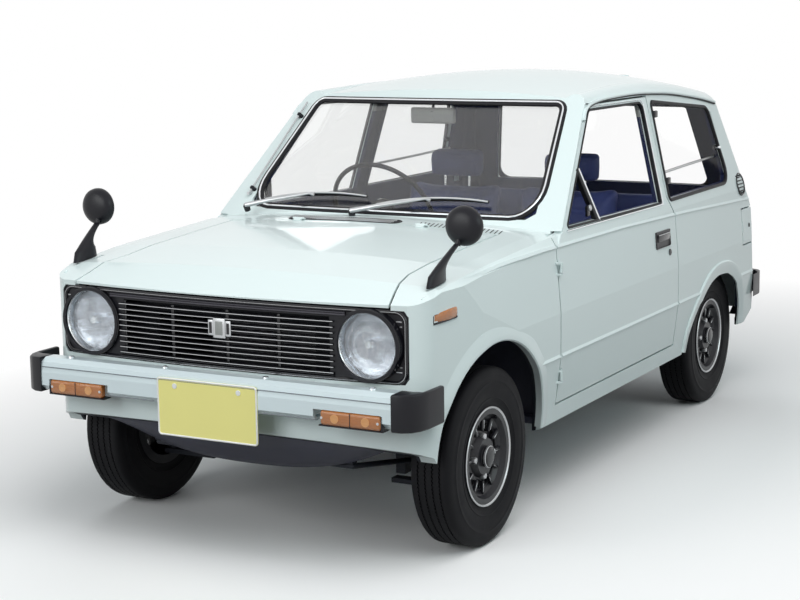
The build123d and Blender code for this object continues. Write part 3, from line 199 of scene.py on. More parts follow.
# the body's outer surface as the shader knows it, metres
skin = {
    "depth": 0.014,   # paint reaches this far in from the surface
    "side": ((0.2, 0.615), (0.262, 0.622), (0.463, 0.6475), (0.6, 0.648), (0.803, 0.631), (0.852, 0.62),
             (1.3, 0.504)),   # half width by height
    "top": ((-1.46, 0.72), (-1.362, 0.764), (-1.287, 0.798), (-1.076, 0.826), (-0.818, 0.845),
            (-0.515, 0.861),
            (-0.12, 1.214), (0.0, 1.25), (0.35, 1.282), (0.7, 1.28), (1.118, 1.24), (1.48, 1.165)),
    "drop": ((-1.46, 0.006), (-0.566, 0.025), (-0.3, 0.025), (0.0, 0.05), (0.35, 0.077), (0.7, 0.092),
             (1.48, 0.115)),   # fall from the middle of the roof to its edge
    "edge": 0.56,
    "noseFrom": -1.0, "noseTaper": 0.14, "noseY": 1.414, "noseBow": 0.1,
    "tailFrom": 1.6386, "tailLean": 0.34, "tailBow": 0.03, "tailHalf": 0.748, "kneeZ": 0.69, "tumble": 0.259,
    "corner": 0.095,  # rounding between flank and tail
}


def skinGroup():
    # 1 on the outer skin of the body, 0 on linings and inside faces
    group = bpy.data.node_groups.new("outerSkin", "ShaderNodeTree")
    number = "NodeSocketFloat"
    entry, leave = socketsOf(group, [("Depth", number, skin["depth"])],
                             [("Outside", number), ("Height", number), ("Along", number)])
    across, y, z = placeIn(group)
    x = across.by("ABSOLUTE")
    side = lookup(z, skin["side"])
    taper = y.less(skin["noseFrom"]).by("MAXIMUM", 0.0) * skin["noseTaper"]
    roof = lookup(y, skin["top"]) - lookup(y, skin["drop"]) * (x / skin["edge"]) ** 4.0
    front = x ** 2.0 * skin["noseBow"] - skin["noseY"]
    high = z.by("MAXIMUM", skin["kneeZ"])
    bowed = ((x + high * skin["tumble"]) / skin["tailHalf"]) ** 2.0
    tail = (high * skin["tailLean"]).less(skin["tailFrom"]) - bowed * skin["tailBow"]
    fromSide = side - taper - x
    short = [gap.less(skin["corner"]).by("MAXIMUM", 0.0) ** 2.0 for gap in (fromSide, tail - y)]
    rounding = (short[0] + short[1]).by("SQRT").less(skin["corner"])
    nearest = fromSide
    for gap in (roof - z, y - front, rounding):
        nearest = nearest.by("MINIMUM", gap)
    (nearest < Sum(group, entry.outputs["Depth"])).to(leave.inputs["Outside"])
    z.to(leave.inputs["Height"])
    y.to(leave.inputs["Along"])
    return group


grain = grainGroup()
outerSkin = skinGroup()


def plainShader(name, values):
    made = bpy.data.materials.new(name)
    made.use_nodes = True
    shader = made.node_tree.nodes["Principled BSDF"]
    for short, value in values.items():
        shader.inputs[inputOf.get(short, short)].default_value = value
    return made, made.node_tree, shader


def bump(tree, shader, height, strength, reach):
    relief = added(tree, "ShaderNodeBump", Height=height, Strength=strength, Distance=reach)
    tree.links.new(relief.outputs[0], shader.inputs["Normal"])


def finish(name, colour, rough, tone=0.1, drift=0.1, patch=9.0, fine=420.0, height=0.05, reach=0.0004,
           **values):
    # tone and drift: how far colour and roughness wander; patch and fine: size of that and of the relief
    made, tree, shader = plainShader(name, values)
    group = tree.nodes.new("ShaderNodeGroup")
    group.node_tree = grain
    for socket, value in (("Colour", (*colour, 1.0)), ("Tone", tone), ("Roughness", rough), ("Drift", drift),
                          ("Patch", patch), ("Fine", fine)):
        group.inputs[socket].default_value = value
    bump(tree, shader, group.outputs["Height"], height, reach)
    tree.links.new(group.outputs["Colour"], shader.inputs["Base Color"])
    tree.links.new(group.outputs["Roughness"], shader.inputs["Roughness"])
    return made


def mixColour(tree, amount, first, second):
    node = tree.nodes.new("ShaderNodeMix")
    node.data_type = "RGBA"
    for socket, value in ((node.inputs[0], amount), (node.inputs[6], first), (node.inputs[7], second)):
        if isinstance(value, tuple):
            socket.default_value = (*value, 1.0)
        else:
            tree.links.new(getattr(value, "socket", value), socket)
    return node.outputs[2]


bodyLook = {"rough": 0.3, "coat": 0.55, "coatRough": 0.06, "specular": 0.12,
            "liningRough": 0.55, "roofLiningFrom": 1.13, "cabinFrom": -0.56, "cabinAbove": 0.33}


def paintFinish(name):
    shine = {key: bodyLook[key] for key in ("coat", "coatRough", "specular")}
    return finish(name, palette["paint"], bodyLook["rough"], 0.025, 0.05, 3.0, 900.0, 0.012, 0.0002, **shine)


paint = paintFinish("bodyPaint")
tree = paint.node_tree
shader = tree.nodes["Principled BSDF"]
group = tree.nodes.new("ShaderNodeGroup")
group.node_tree = outerSkin
outside, tall, along = (Sum(tree, group.outputs[k]) for k in ("Outside", "Height", "Along"))
painted, glossy = (shader.inputs[k].links[0].from_socket for k in ("Base Color", "Roughness"))
high = tall > bodyLook["roofLiningFrom"]
cabin = (along > bodyLook["cabinFrom"]) * (tall > bodyLook["cabinAbove"])
trim = mixColour(tree, high, palette["lining"], palette["headlining"])
inner = mixColour(tree, cabin, palette["underseal"], trim)
tree.links.new(mixColour(tree, outside, inner, painted), shader.inputs["Base Color"])
dull = outside.less(1.0) * bodyLook["liningRough"]
(Sum(tree, glossy) * outside + dull).to(shader.inputs["Roughness"])
(outside * bodyLook["coat"]).to(shader.inputs["Coat Weight"])

plainPaint = paintFinish("trimPaint")
rubber = finish("sealRubber", palette["rubber"], 0.5, 0.4, 0.15, 30.0, 700.0, 0.15, specular=0.25)
plastic = finish("blackPlastic", palette["plastic"], 0.36, 0.2, 0.12, 20.0, 1200.0, 0.12, specular=0.28)
gloss = finish("blackGloss", palette["plastic"], 0.16, 0.1, 0.05, 12.0, 500.0, 0.02)
chrome = finish("chromeTrim", palette["chrome"], 0.1, 0.08, 0.06, 14.0, 300.0, 0.02, metal=1.0)
steel = finish("satinSteel", (0.5, 0.51, 0.52), 0.3, 0.1, 0.1, 14.0, 600.0, 0.05, metal=0.9)
bumperPaint = finish("bumperSilver", palette["bumper"], 0.3, 0.06, 0.08, 5.0, 800.0, 0.03, metal=0.25,
                     coat=0.4)
# the bumper silver darkened: painted shade for the dark lines on the bumper face
bumperShade = finish("bumperShade", (0.16, 0.18, 0.2), 0.4, 0.1, 0.1, 14.0, 300.0, 0.05)
wheelPaint = finish("wheelBlack", palette["wheel"], 0.34, 0.3, 0.14, 24.0, 500.0, 0.06, specular=0.4)
treadLook = finish("treadRubber", palette["tread"], 0.66, 0.5, 0.18, 18.0, 520.0, 0.3, 0.0006, specular=0.16)
chassis = finish("chassisBlack", palette["underseal"], 0.62, 0.5, 0.2, 18.0, 260.0, 0.3, 0.001, specular=0.25)
splashLook = finish("splashPaint", (0.012, 0.013, 0.03), 0.45, 0.3, 0.15, 12.0, 300.0, 0.1, 0.0006)
navy = finish("navyLining", palette["lining"], 0.6, 0.08, 0.12, 10.0, 900.0, 0.08, specular=0.14)
floorLook = finish("floorPan", (0.022, 0.026, 0.045), 0.6, 0.4, 0.2, 14.0, 200.0, 0.35, 0.001)
iron = finish("engineIron", (0.1, 0.1, 0.11), 0.55, 0.4, 0.2, 25.0, 160.0, 0.4, 0.001, metal=0.4)
pipe = finish("exhaustSteel", (0.2, 0.18, 0.16), 0.5, 0.5, 0.2, 20.0, 220.0, 0.25, 0.0008, metal=0.8)
dashLook = finish("dashVinyl", palette["dash"], 0.52, 0.12, 0.1, 12.0, 1400.0, 0.12, specular=0.25)
vinyl = finish("seatVinyl", palette["vinyl"], 0.46, 0.06, 0.1, 16.0, 700.0, 0.05, specular=0.16)
plateLook = finish("plateYellow", palette["plate"], 0.34, 0.05, 0.06, 8.0, 400.0, 0.03)
plateRim = finish("plateWhite", (0.85, 0.86, 0.86), 0.35, 0.05, 0.05, 8.0, 400.0, 0.03)
redLens = finish("redLens", palette["red"], 0.12, 0.15, 0.05, 30.0, 300.0, 0.1, coat=0.6)
clearLens = finish("clearLens", (0.8, 0.83, 0.84), 0.1, 0.1, 0.05, 30.0, 300.0, 0.1, coat=0.6)
reflector = finish("reflector", (0.46, 0.48, 0.52), 0.14, 1.6, 0.15, 34.0, 90.0, 0.7, 0.003, metal=1.0)
grilleGrey = finish("grilleGrey", (0.05, 0.047, 0.058), 0.34, 0.2, 0.1, 12.0, 500.0, 0.02)
mirrorShell = finish("mirrorShell", (0.3, 0.31, 0.3), 0.4, 0.1, 0.1, 14.0, 600.0, 0.05)
mirrorGlass = finish("mirrorGlass", (0.8, 0.84, 0.86), 0.03, 0.02, 0.01, 5.0, 50.0, 0.0, metal=1.0)
# near black: the gauge faces' own black, and painted shade in openings, slots and vents
dark = finish("darkOpening", (0.004, 0.004, 0.005), 0.9, 0.2, 0.05, 40.0, 300.0, 0.1)

# the windscreen, ahead of this place, is the denser laminated pane
glassLook = {"alpha": 0.045, "screenAlpha": 0.875, "screenAhead": 0.1}


def clearGlass(name, tint, ior):
    values = {"Base Color": (*tint, 1.0), "rough": 0.0, "through": 1.0, "ior": ior}
    made, tree, shader = plainShader(name, values)
    # only the near face of a thin pane shows, so its far face doesn't mirror the sky
    facing = Sum(tree, tree.nodes.new("ShaderNodeNewGeometry").outputs["Backfacing"])
    near = facing.less(1.0) * glassLook["alpha"]
    near.to(shader.inputs["Alpha"])
    return made, near, shader


glass = clearGlass("windowGlass", (0.97, 0.995, 0.99), 1.35)[0]
screenGlass, near, shader = clearGlass("fixedGlass", (0.98, 0.995, 0.99), 1.5)
ahead = placeIn(near.tree)[1] < glassLook["screenAhead"]
(ahead * glassLook["screenAlpha"] + near).to(shader.inputs["Alpha"])


def fluted(name, tint, pitch, depth, **values):
    # lens moulded in upright flutes, with shallower ones across
    made, tree, shader = plainShader(name, {"Base Color": (*tint, 1.0), **values})
    x, y, z = placeIn(tree)
    turns = x * (2 * math.pi / pitch)
    cross = z * (2 * math.pi / (pitch * 3.1))
    waves = turns.by("SINE").by("ABSOLUTE") + cross.by("SINE").by("ABSOLUTE") * 0.5
    bump(tree, shader, waves, 0.8, depth)
    return made


lensGlass = fluted("headlampLens", (0.93, 0.96, 0.97), 0.0075, 0.0012, rough=0.03, through=1.0, ior=1.3,
                   alpha=0.75)
amberLens = fluted("amberLens", palette["amber"], 0.005, 0.0006, rough=0.12, through=0.25, coat=0.5)
amberBulb = fluted("amberBulb", (0.78, 0.36, 0.11), 0.004, 0.0006, rough=0.12, coat=0.5)

lookOf = {
    "bodyPaint": paint, "windowGlass": glass, "tyreRubber": rubber, "wheelSteel": wheelPaint,
    "floorPan": floorLook,
    "chassisSteel": chassis, "castEngine": iron, "exhaustSteel": pipe, "dashPlastic": dashLook,
    "seatVinyl": vinyl,
    "blackPlastic": plastic, "bright": chrome, "bumperRubber": plastic, "bumperSteel": bumperPaint,
    "lampGlass": lensGlass, "redLens": redLens, "amberLens": amberLens, "plateYellow": plateLook,
}
ownLook = {"fixedGlass": screenGlass, "fuelFlap": plainPaint, "antenna": steel}
for entry in frame["record"]["subparts"]:
    name = entry["node"]
    nodes[name].data.materials.clear()
    nodes[name].data.materials.append(ownLook.get(name, lookOf[entry["material_slot"]]))
print("finishes on")


# shape helpers
def placed(name, mesh, look=None, body=None, sharp=None):
    made = bpy.data.objects.new(name, mesh)
    bpy.context.collection.objects.link(made)
    if look:
        mesh.materials.append(look)
    if sharp:
        mesh.shade_smooth()
        mesh.set_sharp_from_angle(angle=math.radians(sharp))
    if body:
        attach(made, body)
    return made


def fromWork(work, name, *rest):
    mesh = bpy.data.meshes.new(name)
    work.to_mesh(mesh)
    work.free()
    return placed(name, mesh, *rest)


def facedOut(mesh, merge=False):
    # faces turned outward; with merge, points that coincide are joined first
    work = bmesh.new()
    work.from_mesh(mesh)
    if merge:
        bmesh.ops.remove_doubles(work, verts=work.verts, dist=1e-6)
    bmesh.ops.recalc_face_normals(work, faces=work.faces)
    work.to_mesh(mesh)
    work.free()


def meshPiece(name, verts, faces, look, sharp=40.0, body="carBody"):
    mesh = bpy.data.meshes.new(name)
    mesh.from_pydata([tuple(v) for v in verts], [], faces)
    mesh.validate()
    facedOut(mesh)
    return placed(name, mesh, look, body, sharp)


def sleeve(rings, width, closed=True, wrap=True, capped=False):
    # faces between rings of points that follow each other
    faces = []
    for i in range(rings if closed else rings - 1):
        j = (i + 1) % rings
        for k in range(width if wrap else width - 1):
            m = (k + 1) % width
            faces.append((i * width + k, i * width + m, j * width + m, j * width + k))
    if capped:
        faces.append(tuple(range(width)))
        faces.append(tuple(reversed(range((rings - 1) * width, rings * width))))
    return faces


def prism(low, top):
    # solid between two rings of points
    work = bmesh.new()
    first = [work.verts.new(p) for p in low]
    last = [work.verts.new(p) for p in top]
    work.faces.new(first)
    work.faces.new(list(reversed(last)))
    for k in range(len(first)):
        m = (k + 1) % len(first)
        work.faces.new((first[k], last[k], last[m], first[m]))
    bmesh.ops.recalc_face_normals(work, faces=work.faces)
    return work


def edged(work, edges, offset, segments):
    bmesh.ops.bevel(work, geom=edges, offset=offset, segments=segments, profile=0.5, affect="EDGES")


def tilt(x=0.0, y=0.0):
    return Euler((math.radians(x), math.radians(y), 0)).to_matrix()


def spots(*points):
    return [Vector(p) for p in points]


def rounded(corners, radii, steps=7):
    # closed polygon with each corner turned into an arc
    path = []
    count = len(corners)
    for i, corner in enumerate(corners):
        here = Vector(corner)
        before = Vector(corners[i - 1]) - here
        after = Vector(corners[(i + 1) % count]) - here
        radius = radii[i] if isinstance(radii, (list, tuple)) else radii
        half = before.angle(after) / 2
        reach = min(radius / math.tan(half), before.length * 0.49, after.length * 0.49)
        radius = reach * math.tan(half)
        centre = here + (before.normalized() + after.normalized()).normalized() * (radius / math.sin(half))
        start = here + before.normalized() * reach - centre
        end = here + after.normalized() * reach - centre
        turn = start.angle(end)
        for k in range(steps + 1):
            t = k / steps
            path.append(centre
                        + (start * math.sin((1 - t) * turn) + end * math.sin(t * turn)) / math.sin(turn))
    return path


def resampled(path, gap, closed=True):
    # points no further apart than gap, keeping the given ones
    points = []
    last = len(path) if closed else len(path) - 1
    for i in range(last):
        p, q = path[i], path[(i + 1) % len(path)]
        cuts = max(1, math.ceil((q - p).length / gap))
        points += [p.lerp(q, k / cuts) for k in range(cuts)]
    if not closed:
        points.append(path[-1])
    return points


def window(corners, radii, gap=0.03, steps=7):
    return resampled(rounded(corners, radii, steps), gap)


def openPath(*points):
    return resampled(spots(*points), 0.03, False)


def smoothed(points, count):
    # even points along a spline through the given ones
    given = spots(*points)
    ends = [2 * given[0] - given[1]] + given + [2 * given[-1] - given[-2]]
    path = []
    for k in range(count):
        t = k / (count - 1) * (len(given) - 1)
        i = min(int(t), len(given) - 2)
        t -= i
        a, b, c, d = ends[i:i + 4]
        path.append(0.5 * (2 * b + (c - a) * t + (2 * a - 5 * b + 4 * c - d) * t * t
                           + (3 * b - a - 3 * c + d) * t ** 3))
    return path


def tangentAt(path, i, closed):
    count = len(path)
    ahead = path[(i + 1) % count] if closed or i < count - 1 else path[i]
    behind = path[i - 1] if closed or i > 0 else path[i]
    return (ahead - behind).normalized()


def strip(name, path, surface, profile, look, closed=True, flip=1.0, body="carBody"):
    # bead along a path on a surface: profile rows are (sideways, outward) in metres
    line = [Vector(surface(p[0], p[1])) for p in path]
    delta = 0.002
    verts = []
    for i, p in enumerate(path):
        du = Vector(surface(p[0] + delta, p[1])) - line[i]
        dv = Vector(surface(p[0], p[1] + delta)) - line[i]
        outward = du.cross(dv).normalized() * flip
        side = tangentAt(line, i, closed).cross(outward).normalized()
        verts += [line[i] + side * s + outward * h for s, h in profile]
    faces = sleeve(len(line), len(profile), closed, capped=not closed)
    return meshPiece(name, verts, faces, look, body=body)


def bead(width, height, sink=0.002, steps=5):
    # half-round section
    turns = [math.pi * k / steps for k in range(steps + 1)]
    arc = [(-width / 2 * math.cos(t), height * math.sin(t)) for t in turns]
    return arc + [(width / 2, -sink), (-width / 2, -sink)]


def around(count):
    return [2 * math.pi * k / count for k in range(count)]


def tube(name, points, radius, look, sides=10, body="carBody"):
    line = spots(*points)
    verts = []
    hint = Vector((0, 0, 1))
    for i, p in enumerate(line):
        tangent = tangentAt(line, i, False)
        if abs(tangent.dot(hint)) > 0.97:
            hint = Vector((1, 0, 0))
        side = tangent.cross(hint).normalized()
        hint = side.cross(tangent)
        r = radius[i] if isinstance(radius, (list, tuple)) else radius
        verts += [p + (side * math.cos(t) + hint * math.sin(t)) * r for t in around(sides)]
    return meshPiece(name, verts, sleeve(len(line), sides, False, capped=True), look, body=body)


def lathe(name, profile, centre, axis, look, segments=64, body="carBody"):
    # turned piece: profile rows are (along the axis, radius), a ring unless they end on the axis
    along = Vector(axis).normalized()
    side = along.orthogonal().normalized()
    other = along.cross(side)
    verts = []
    for angle in around(segments):
        ray = side * math.cos(angle) + other * math.sin(angle)
        verts += [Vector(centre) + along * h + ray * r for h, r in profile]
    made = meshPiece(name, verts, sleeve(segments, len(profile), wrap=profile[-1][1] > 0), look, body=body)
    facedOut(made.data, True)
    return made


def block(size, bevel, turn, centre, segments):
    work = bmesh.new()
    bmesh.ops.create_cube(work, size=1.0)
    bmesh.ops.scale(work, vec=size, verts=work.verts)
    if bevel:
        edged(work, work.edges[:], bevel, segments)
    if turn is not None:
        bmesh.ops.transform(work, matrix=turn.to_4x4(), verts=work.verts)
    bmesh.ops.translate(work, vec=centre, verts=work.verts)
    return work


def box(name, centre, size, look, bevel=0.0, turn=None, segments=3, body="carBody"):
    return fromWork(block(size, bevel, turn, centre, segments), name, look, body, 40)


def seed(size, bevel=0.0, centre=(0, 0, 0), segments=1, turn=None):
    # the one part that a row or ring repeats
    return fromWork(block(size, bevel, turn, centre, segments), "seed")


def turnedSeed(profile, axis=(1, 0, 0), centre=(0, 0, 0), segments=6):
    # small turned part such as a nut or bolt head: profile rows are (along, radius)
    along = Vector(axis)
    side = along.orthogonal().normalized()
    other = along.cross(side)
    work = bmesh.new()
    rings = []
    for h, r in profile:
        ring = [Vector(centre) + along * h + (side * math.cos(t) + other * math.sin(t)) * r
                for t in around(segments)]
        rings.append([work.verts.new(p) for p in ring])
    for low, top in zip(rings, rings[1:]):
        for k in range(segments):
            work.faces.new((low[k], low[(k + 1) % segments], top[(k + 1) % segments], top[k]))
    work.faces.new(rings[0])
    work.faces.new(rings[-1])
    bmesh.ops.recalc_face_normals(work, faces=work.faces)
    return fromWork(work, "seed")


def copiesTree(name, ring):
    # copies of one part along a line, or at equal angles about the world X axis through Start
    tree = bpy.data.node_groups.new(name, "GeometryNodeTree")
    for label, kind in (("Geometry", "Geometry"), ("Part", "Object"), ("Count", "Int"), ("Start", "Vector"),
                        ("Step", "Vector"), ("Look", "Material")):
        tree.interface.new_socket(label, in_out="INPUT", socket_type="NodeSocket" + kind)
    tree.interface.new_socket("Geometry", in_out="OUTPUT", socket_type="NodeSocketGeometry")
    entry = tree.nodes.new("NodeGroupInput").outputs
    row = added(tree, "GeometryNodeMeshLine", Count=entry["Count"], Start_Location=entry["Start"],
                Offset=entry["Step"])
    row.mode = "OFFSET"
    part = added(tree, "GeometryNodeObjectInfo", Object=entry["Part"])
    copies = added(tree, "GeometryNodeInstanceOnPoints", Points=row.outputs["Mesh"],
                   Instance=part.outputs["Geometry"])
    if ring:
        number = Sum(tree, tree.nodes.new("GeometryNodeInputIndex").outputs[0])
        spin = added(tree, "ShaderNodeCombineXYZ", X=number / Sum(tree, entry["Count"]) * (2 * math.pi))
        tree.links.new(spin.outputs[0], copies.inputs["Rotation"])
    real = added(tree, "GeometryNodeRealizeInstances", Geometry=copies.outputs[0])
    look = added(tree, "GeometryNodeSetMaterial", Geometry=real.outputs[0], Material=entry["Look"])
    tree.links.new(look.outputs[0], tree.nodes.new("NodeGroupOutput").inputs["Geometry"])
    return tree


rowTree = copiesTree("rowOfParts", False)
ringTree = copiesTree("ringOfParts", True)


def grownFrom(made):
    # mesh of an object with its modifiers applied; the object goes
    bpy.context.view_layer.update()
    mesh = bpy.data.meshes.new_from_object(made.evaluated_get(bpy.context.evaluated_depsgraph_get()))
    bpy.data.objects.remove(made)
    return mesh


def repeated(name, tree, part, look, body="carBody", **values):
    holder = placed(name + "Holder", bpy.data.meshes.new(name + "Holder"))
    modifier = holder.modifiers.new("copies", "NODES")
    modifier.node_group = tree
    values.update({"Part": part, "Look": look})
    for socket in tree.interface.items_tree:
        if socket.in_out == "INPUT" and socket.name in values:
            modifier[socket.identifier] = values[socket.name]
    mesh = grownFrom(holder)
    mesh.name = name
    bpy.data.objects.remove(part)
    return placed(name, mesh, None, body, 40)


# body surfaces, metres
form = {"screenY": -0.515, "screenBow": 0.025, "screenZ": 0.86, "screenLean": 377 / 336, "screenHalf": 0.534,
        "tumble": 90 / 348, "widest": 0.648, "tailY": 1.404, "tailZ": 0.69, "tailLean": 0.34, "tailBow": 0.03,
        "tailHalf": 0.569, "lowLean": 0.12, "lowHalf": 0.556, "deckHalf": 0.56}
# half width and height up the flank
flank = ((0.622, 0.262), (0.6475, 0.463), (0.648, 0.6), (0.631, 0.803), (0.62, 0.852), (0.53, 1.2))
# place along the car and half width of the wing
wingPlan = ((-1.46, 0.52), (-1.36, 0.6), (-1.318, 0.618), (-1.08, 0.64), (-0.76, 0.648), (1.4, 0.648))
# place along the car and height of bonnet and cowl, in the middle and at the wing
deckCrown = ((-1.46, 0.72), (-1.362, 0.764), (-1.287, 0.798), (-1.076, 0.826), (-0.818, 0.845),
             (-0.566, 0.861),
             (-0.4, 0.861))
deckEdge = ((-1.46, 0.716), (-1.362, 0.753), (-1.287, 0.783), (-1.076, 0.807), (-0.818, 0.823),
            (-0.566, 0.838),
            (-0.4, 0.838))


def tableAt(rows, value):
    for (a, b), (c, d) in zip(rows, rows[1:]):
        if value <= c:
            return b + (d - b) * (value - a) / (c - a)
    return rows[-1][1]


def screenAt(x, z):
    bow = form["screenBow"] * (x / form["screenHalf"]) ** 2
    return (x, form["screenY"] + bow + (z - form["screenZ"]) * form["screenLean"], z)


def sideX(z):
    for (xa, za), (xb, zb) in zip(flank, flank[1:]):
        if z <= zb:
            return xa + (xb - xa) * (z - za) / (zb - za)
    xa, za = flank[-2]
    return xa - (z - za) * form["tumble"]


def onSide(sign):
    return lambda y, z: (sign * sideX(z), y, z)


def wingFlank(sign):
    # flank that draws in towards the nose
    return lambda y, z: (sign * (sideX(z) - form["widest"] + tableAt(wingPlan, y)), y, z)


def tailAt(x, z):
    half = form["tailHalf"] - (z - form["tailZ"]) * form["tumble"]
    y = form["tailY"] - form["tailLean"] * (z - form["tailZ"]) - form["tailBow"] * (x / half) ** 2
    return (x, y, z)


def lowTailAt(x, z):
    # lower tail panel, below the knee
    y = form["tailY"] - form["lowLean"] * (z - form["tailZ"]) - form["tailBow"] * (x / form["lowHalf"]) ** 2
    return (x, y, z)


def deckAt(x, y):
    # bonnet and cowl surface
    crown, edge = tableAt(deckCrown, y), tableAt(deckEdge, y)
    return (x, y, crown - (crown - edge) * (x / form["deckHalf"]) ** 2)


# seals and bright edges: width, height and foot of each bead
trimBeads = {"seal": (0.026, 0.005, 0.006), "bright": (0.0095, 0.007, 0.001), "tail": (0.022, 0.005, 0.006),
             "door": (0.008, 0.003, 0.01), "doorBright": (0.004, 0.0042, 0.001),
             "belt": (0.007, 0.005, 0.001),
             "rear": (0.013, 0.005, 0.006), "post": (0.022, 0.002, 0.014), "postEdge": (0.005, 0.0045, 0.002)}
screenCorners = ((-0.531, 0.871), (0.531, 0.871), (0.463, 1.204), (-0.463, 1.204))
screenPath = window(screenCorners, (0.075, 0.075, 0.035, 0.035))
strip("screenRubber", screenPath, screenAt, bead(*trimBeads["seal"]), rubber)
strip("screenBright", screenPath, screenAt, bead(*trimBeads["bright"]), chrome)
tailCorners = ((-0.478, 0.792), (0.478, 0.792), (0.411, 1.127), (-0.411, 1.127))
tailPath = window(tailCorners, (0.05, 0.05, 0.035, 0.035))
strip("tailgateRubber", tailPath, tailAt, bead(*trimBeads["tail"]), rubber, flip=-1, body="tailgateBody")

doorCorners = ((-0.462, 0.845), (-0.088, 1.181), (0.387, 1.181), (0.354, 0.837))
rearCorners = ((0.433, 0.838), (0.467, 1.179), (1.036, 1.129), (1.098, 0.842))
post = openPath((-0.215, 0.842), (-0.286, 1.01))   # quarter light bar
rail = smoothed(((-0.15, 1.15), (-0.128, 1.172), (-0.096, 1.19), (-0.04, 1.202), (0.06, 1.2095), (0.2, 1.213),
                 (0.35, 1.2135), (0.52, 1.208), (0.7, 1.197), (0.95, 1.17), (1.08, 1.151), (1.13, 1.143)), 60)
railSection = ((-0.004, -0.004), (-0.004, 0.006), (0.001, 0.008), (0.005, 0.006), (0.005, -0.004))
railShadow = ((-0.0025, -0.004), (-0.0025, 0.005), (0.0025, 0.005), (0.0025, -0.004))
# trim of a side: name, path, section, finish, closed, whether it opens with the door
sideTrim = (
    ("doorSeal", window(doorCorners, (0.006, 0.05, 0.028, 0.01)), bead(*trimBeads["door"]), rubber, True,
     True),
    ("doorBright", openPath((-0.1, 1.19), (0.372, 1.19), (0.391, 1.176), (0.361, 0.832)),
     bead(*trimBeads["doorBright"]), chrome, False, True),
    ("beltBright", openPath((-0.47, 0.836), (0.356, 0.832)), bead(*trimBeads["belt"]), chrome, False, True),
    ("rearSeal", window(rearCorners, (0.02, 0.02, 0.045, 0.055)), bead(*trimBeads["rear"]), rubber, True,
     False),
    ("quarterPost", post, bead(*trimBeads["post"]), rubber, False, True),
    ("quarterBright", [p + Vector((0.01, 0)) for p in post], bead(*trimBeads["postEdge"]), chrome, False,
     True),
    ("dripRail", rail, railSection, plainPaint, False, False),
    ("dripShadow", [p + Vector((0, -0.006)) for p in rail[2:]], railShadow, rubber, False, False),
)
# rolled lips round the wheel arches
arch = {"y": -0.992, "z": 0.262, "radius": 0.332,
        "flare": ((-0.005, -0.018), (-0.007, 0.003), (-0.003, 0.0065), (0.004, 0.0065), (0.014, 0.005),
                  (0.028, 0.0022), (0.042, 0), (0.042, -0.006)),
        "rear": ((0.583, 0.27), (0.602, 0.345), (0.655, 0.42), (0.725, 0.482), (0.81, 0.526), (0.89, 0.5455),
                 (0.955, 0.548), (1.04, 0.5395), (1.12, 0.508), (1.185, 0.456), (1.235, 0.388), (1.262, 0.32),
                 (1.27, 0.27))}
turns = [math.radians(k) for k in range(1, 158, 4)]
frontArc = [Vector((arch["y"] + arch["radius"] * math.cos(t),
                    arch["z"] + arch["radius"] * math.sin(t))) for t in turns]
# raised lines along the flank, broken at the door gaps: name, which line, on the door, from, to
swage = {"section": ((-0.0085, -0.003), (-0.0085, 0.0002), (0, 0.0042), (0.0012, 0.0036), (0.0018, 0),
                     (0.0018, -0.003)),
         "high": ((-1.345, 0.753), (-1.269, 0.767), (-1.169, 0.779), (-0.94, 0.794), (-0.68, 0.7985),
                  (-0.04, 0.7955), (0.52, 0.7825), (1.2, 0.7592), (1.4, 0.751)),
         "low": ((-0.8, 0.4675), (1.4, 0.4675)),
         "runs": (("Wing", "high", False, -1.345, -0.571), ("Door", "high", True, -0.559, 0.457),
                  ("Tail", "high", False, 0.47, 1.3), ("WingLow", "low", False, -0.722, -0.571),
                  ("DoorLow", "low", True, -0.559, 0.463), ("SideLow", "low", False, 0.475, 0.744),
                  ("TailLow", "low", False, 1.184, 1.325))}
for sign, side in sides:
    bodies = ("carBody", "door%sBody" % side)
    for name, path, section, look, closed, onDoor in sideTrim:
        strip(name + side, path, onSide(sign), section, look, closed, sign, bodies[onDoor])
    strip("frontLip" + side, frontArc, wingFlank(sign), arch["flare"], plainPaint, False, sign)
    strip("rearLip" + side, smoothed(arch["rear"], 48), onSide(sign), arch["flare"], plainPaint, False, sign)
    section = [(sign * s, h) for s, h in swage["section"]]
    for name, line, onDoor, first, last in swage["runs"]:
        ys = [first + (last - first) * k / 16 for k in range(17)]
        path = [Vector((y, tableAt(swage[line], y))) for y in ys]
        strip("swage" + name + side, path, wingFlank(sign), section, plainPaint, False, sign, bodies[onDoor])
print("windows trimmed")

# grille and headlamps
front = {"slats": 10, "slatFrom": 0.5525, "slatPitch": 0.0155, "halfWidth": 0.353, "faceY": -1.4085,
         "bow": 0.0996,
         "lampX": 0.457, "lampY": -1.372, "lampZ": 0.634, "posts": (-0.339, -0.166, 0.019, 0.184),
         "combs": 11, "combFrom": 0.566, "combPitch": 0.0135, "combRing": 0.1, "combEnd": 0.553}
slatSection = ((-0.0022, -0.004), (-0.0022, 0.006), (-0.0008, 0.0078), (0.0012, 0.0072), (0.0022, 0.005),
               (0.0022, -0.004))
edgeSection = ((-0.0009, 0.006), (-0.0009, 0.0083), (0.0009, 0.0083), (0.0009, 0.006))
frameSection = ((-0.006, -0.01), (-0.006, 0.004), (-0.003, 0.007), (0.003, 0.007), (0.006, 0.004),
                (0.006, -0.01))
ahead = (0, -1, 0)


def faceAt(x, z):
    return (x, front["faceY"] + front["bow"] * x * x, z)


def bar(name, z, section, look, stretch=1.0):
    # one bar across the grille
    xs = [front["halfWidth"] * (k / 10 - 1) * stretch for k in range(21)]
    strip(name, [Vector((x, z)) for x in xs], faceAt, section, look, False)


